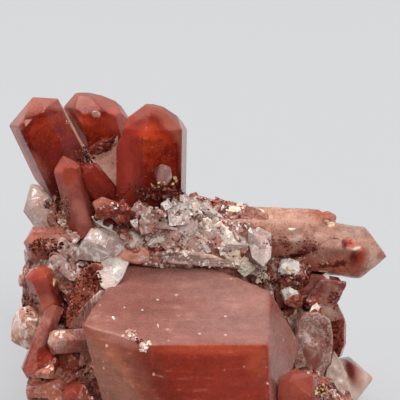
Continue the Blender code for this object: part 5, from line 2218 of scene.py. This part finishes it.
GRAINS = (
    Litter("ore_grains", ORE_GRAIN, Slot.ROCK, 4, (),
        beds((80, 296, 30, 13, 300, (0.12, 0.3), (0.2, 1.2), -52), (90, 277, 10, 16, 90, (0.12, 0.36),
            (0, 1), -25), (46, 247, 18, 9, 210, (0.12, 0.34)), (47, 232, 16, 5, 24, (0.08, 0.2)), (30, 304,
            9, 11, 70, (0.12, 0.34)), (292, 246, 34, 12, 90, (0.08, 0.2)), (288, 280, 20, 8, 110,
            (0.12, 0.3)), (334, 300, 6, 9, 40, (0.12, 0.3)), (338, 334, 6, 16, 60, (0.12, 0.3)), (323, 392,
            10, 9, 90, (0.12, 0.34)), (85, 157, 11, 9, 150, (0.1, 0.32), (0, 1), 35), (103, 146, 15, 7, 110,
            (0.1, 0.26), (0.3, 1.2), -25), (104, 160, 14, 25, 36, (0.08, 0.18), (0, 1), 20), (165, 193, 18,
            8, 130, (0.12, 0.36)), (132, 193, 18, 10, 80, (0.1, 0.26)), (49, 204, 5, 5, 24, (0.12, 0.34)),
            (62, 211, 8, 15, 110, (0.12, 0.36)), (180, 228, 52, 30, 60, (0.08, 0.2), (0.3, 1)), (86, 370, 7,
            6, 30, (0.12, 0.34)), (248, 266, 24, 4, 40, (0.1, 0.24), (0.4, 1), 28), (218, 200, 18, 3, 60,
            (0.1, 0.28)), (139, 341, 4, 3, 12, (0.15, 0.3)), shape=Shape.GRAIN), 2600, Shape.GRAIN,
            (0.1, 0.36), 26),
    Litter("cream_crumbs", CREAM_CRUMB, Slot.ROCK, 5,
        hand_set((139, 229, 1.1, 0.2), (322, 277, 0.9, 0.9), (313, 310, 1, 0.7), shape=Shape.FLAKE),
        (*beds((245, 265, 26, 5, 80, (0.4, 1.1), (0.4, 1), 30), shape=Shape.FLAKE, sunk=0.4, tilt=0.3),
        *beds((246, 266, 26, 6, 90, (0.15, 0.5), (0.3, 1), 30), shape=Shape.GRAIN, sunk=0.4),
        *beds((203, 216, 14, 2.5, 30, (0.3, 1), (0.4, 1), 52), (234, 209, 9, 3.5, 16, (0.3, 1), (0.3, 1)),
            (222, 228, 16, 3, 26, (0.3, 1), (0.3, 1), 35), shape=Shape.FLAKE, sunk=0.45),
        *beds((176, 216, 4, 4, 8, (0.3, 0.9), (0.5, 1)), shape=Shape.FLAKE, sunk=0.4),
        *beds((228, 250, 12, 3, 20, (0.2, 0.7), (0.4, 1), 30), (186, 253, 14, 2, 16, (0.2, 0.7), (0.5, 1),
            10), shape=Shape.FLAKE, sunk=0.5),
        *beds((146, 240, 8, 3.5, 16, (0.2, 0.55), (0.7, 1)), shape=Shape.FLAKE),
        *beds((178, 253, 16, 3, 20, (0.15, 0.4)), shape=Shape.GRAIN, flat=0.5),
        *beds((65, 223, 6, 3.5, 16, (0.2, 0.5)), shape=Shape.GRAIN),
        *beds((113, 206, 12, 3, 7, (0.2, 0.5)), shape=Shape.FLAKE),
        *beds((61, 334, 5, 3, 8, (0.15, 0.4)), (147, 345, 4, 3, 9, (0.15, 0.4), (0, 0.7)), (130, 334, 5, 3,
            5, (0.12, 0.3), (0, 0.7)), shape=Shape.GRAIN),
        *beds((200, 262, 40, 2.5, 12, (0.12, 0.3), (0, 1), 6), shape=Shape.GRAIN, flat=0.5),
        *beds((290, 270, 8, 5, 14, (0.2, 0.5)), (330, 224, 7, 2.5, 12, (0.15, 0.35), (-0.3, 0.2), 25),
            shape=Shape.GRAIN)), 500, Shape.GRAIN, (0.2, 0.6), 12),
    Litter("gold_flecks", GOLD_FLECK, Slot.ROCK, 6,
        (*hand_set((175, 178, 0.35, 0.6), (173, 184, 0.3, 0.9), (176.5, 181, 0.28, 0.2), shape=Shape.GRAIN),
        *hand_set((295, 312, 0.5, 0.7)),
        *hand_set((52, 279, 0.7, 0.8), (55, 283, 0.7, 0.8), shape=Shape.FLAKE)),
        beds((68, 122, 2, 3, 5, (0.12, 0.25)), (323, 392, 8, 7, 46, (0.12, 0.3)), (60, 212, 7, 9, 14,
            (0.12, 0.3)), (158, 186, 12, 5, 12, (0.1, 0.25)), shape=Shape.GRAIN), 60, Shape.FLAKE,
            (0.2, 0.5), 6),
)


def make_templates() -> dict[Shape, list[Template]]:
    """Model each kind of small shape once or a few times.

    Returns:
        The shapes of each kind.
    """
    return {
        Shape.SHARD: [model_shard(seed, 11, (1.25, 1.0, 0.85)) for seed in range(8)],
        Shape.SPLINTER: [model_shard(seed, 9, (0.55, 0.42, 1.6)) for seed in range(10, 14)],
        Shape.FLAKE: [model_shard(seed, 9, (1.25, 1.0, 0.25)) for seed in range(20, 25)],
        Shape.GRAIN: [model_grain(seed) for seed in range(4)],
    }


def main() -> None:
    """Build every piece in order, and report each through the log."""
    logging.basicConfig(level=logging.INFO, format="%(name)s: %(message)s")
    lens = Lens()
    lens.build()
    Studio().build()
    LOG.info("stage ready")
    made = []
    for crystal in CRYSTALS + PAINTED:
        made.append(crystal.build(lens))
        LOG.info("%s built", crystal.node)
    made.append(ArmRoot().build(lens, ARM_COAT, ARM_FINISH))
    made.append(Matrix3D(blots=BLOTS).build(lens))
    LOG.info("arm root and matrix built")
    skin = Skin(made)
    for plate in PLATES:
        made.append(plate.build(lens, skin))
        LOG.info("%s built", plate.name)
    skin = Skin(made)
    templates = make_templates()
    shards = [litter.build(skin, lens, templates) for litter in SHARDS]
    skin = Skin(made + shards)
    for litter in GRAINS:
        litter.build(skin, lens, templates)


if __name__ == "__main__":
    main()
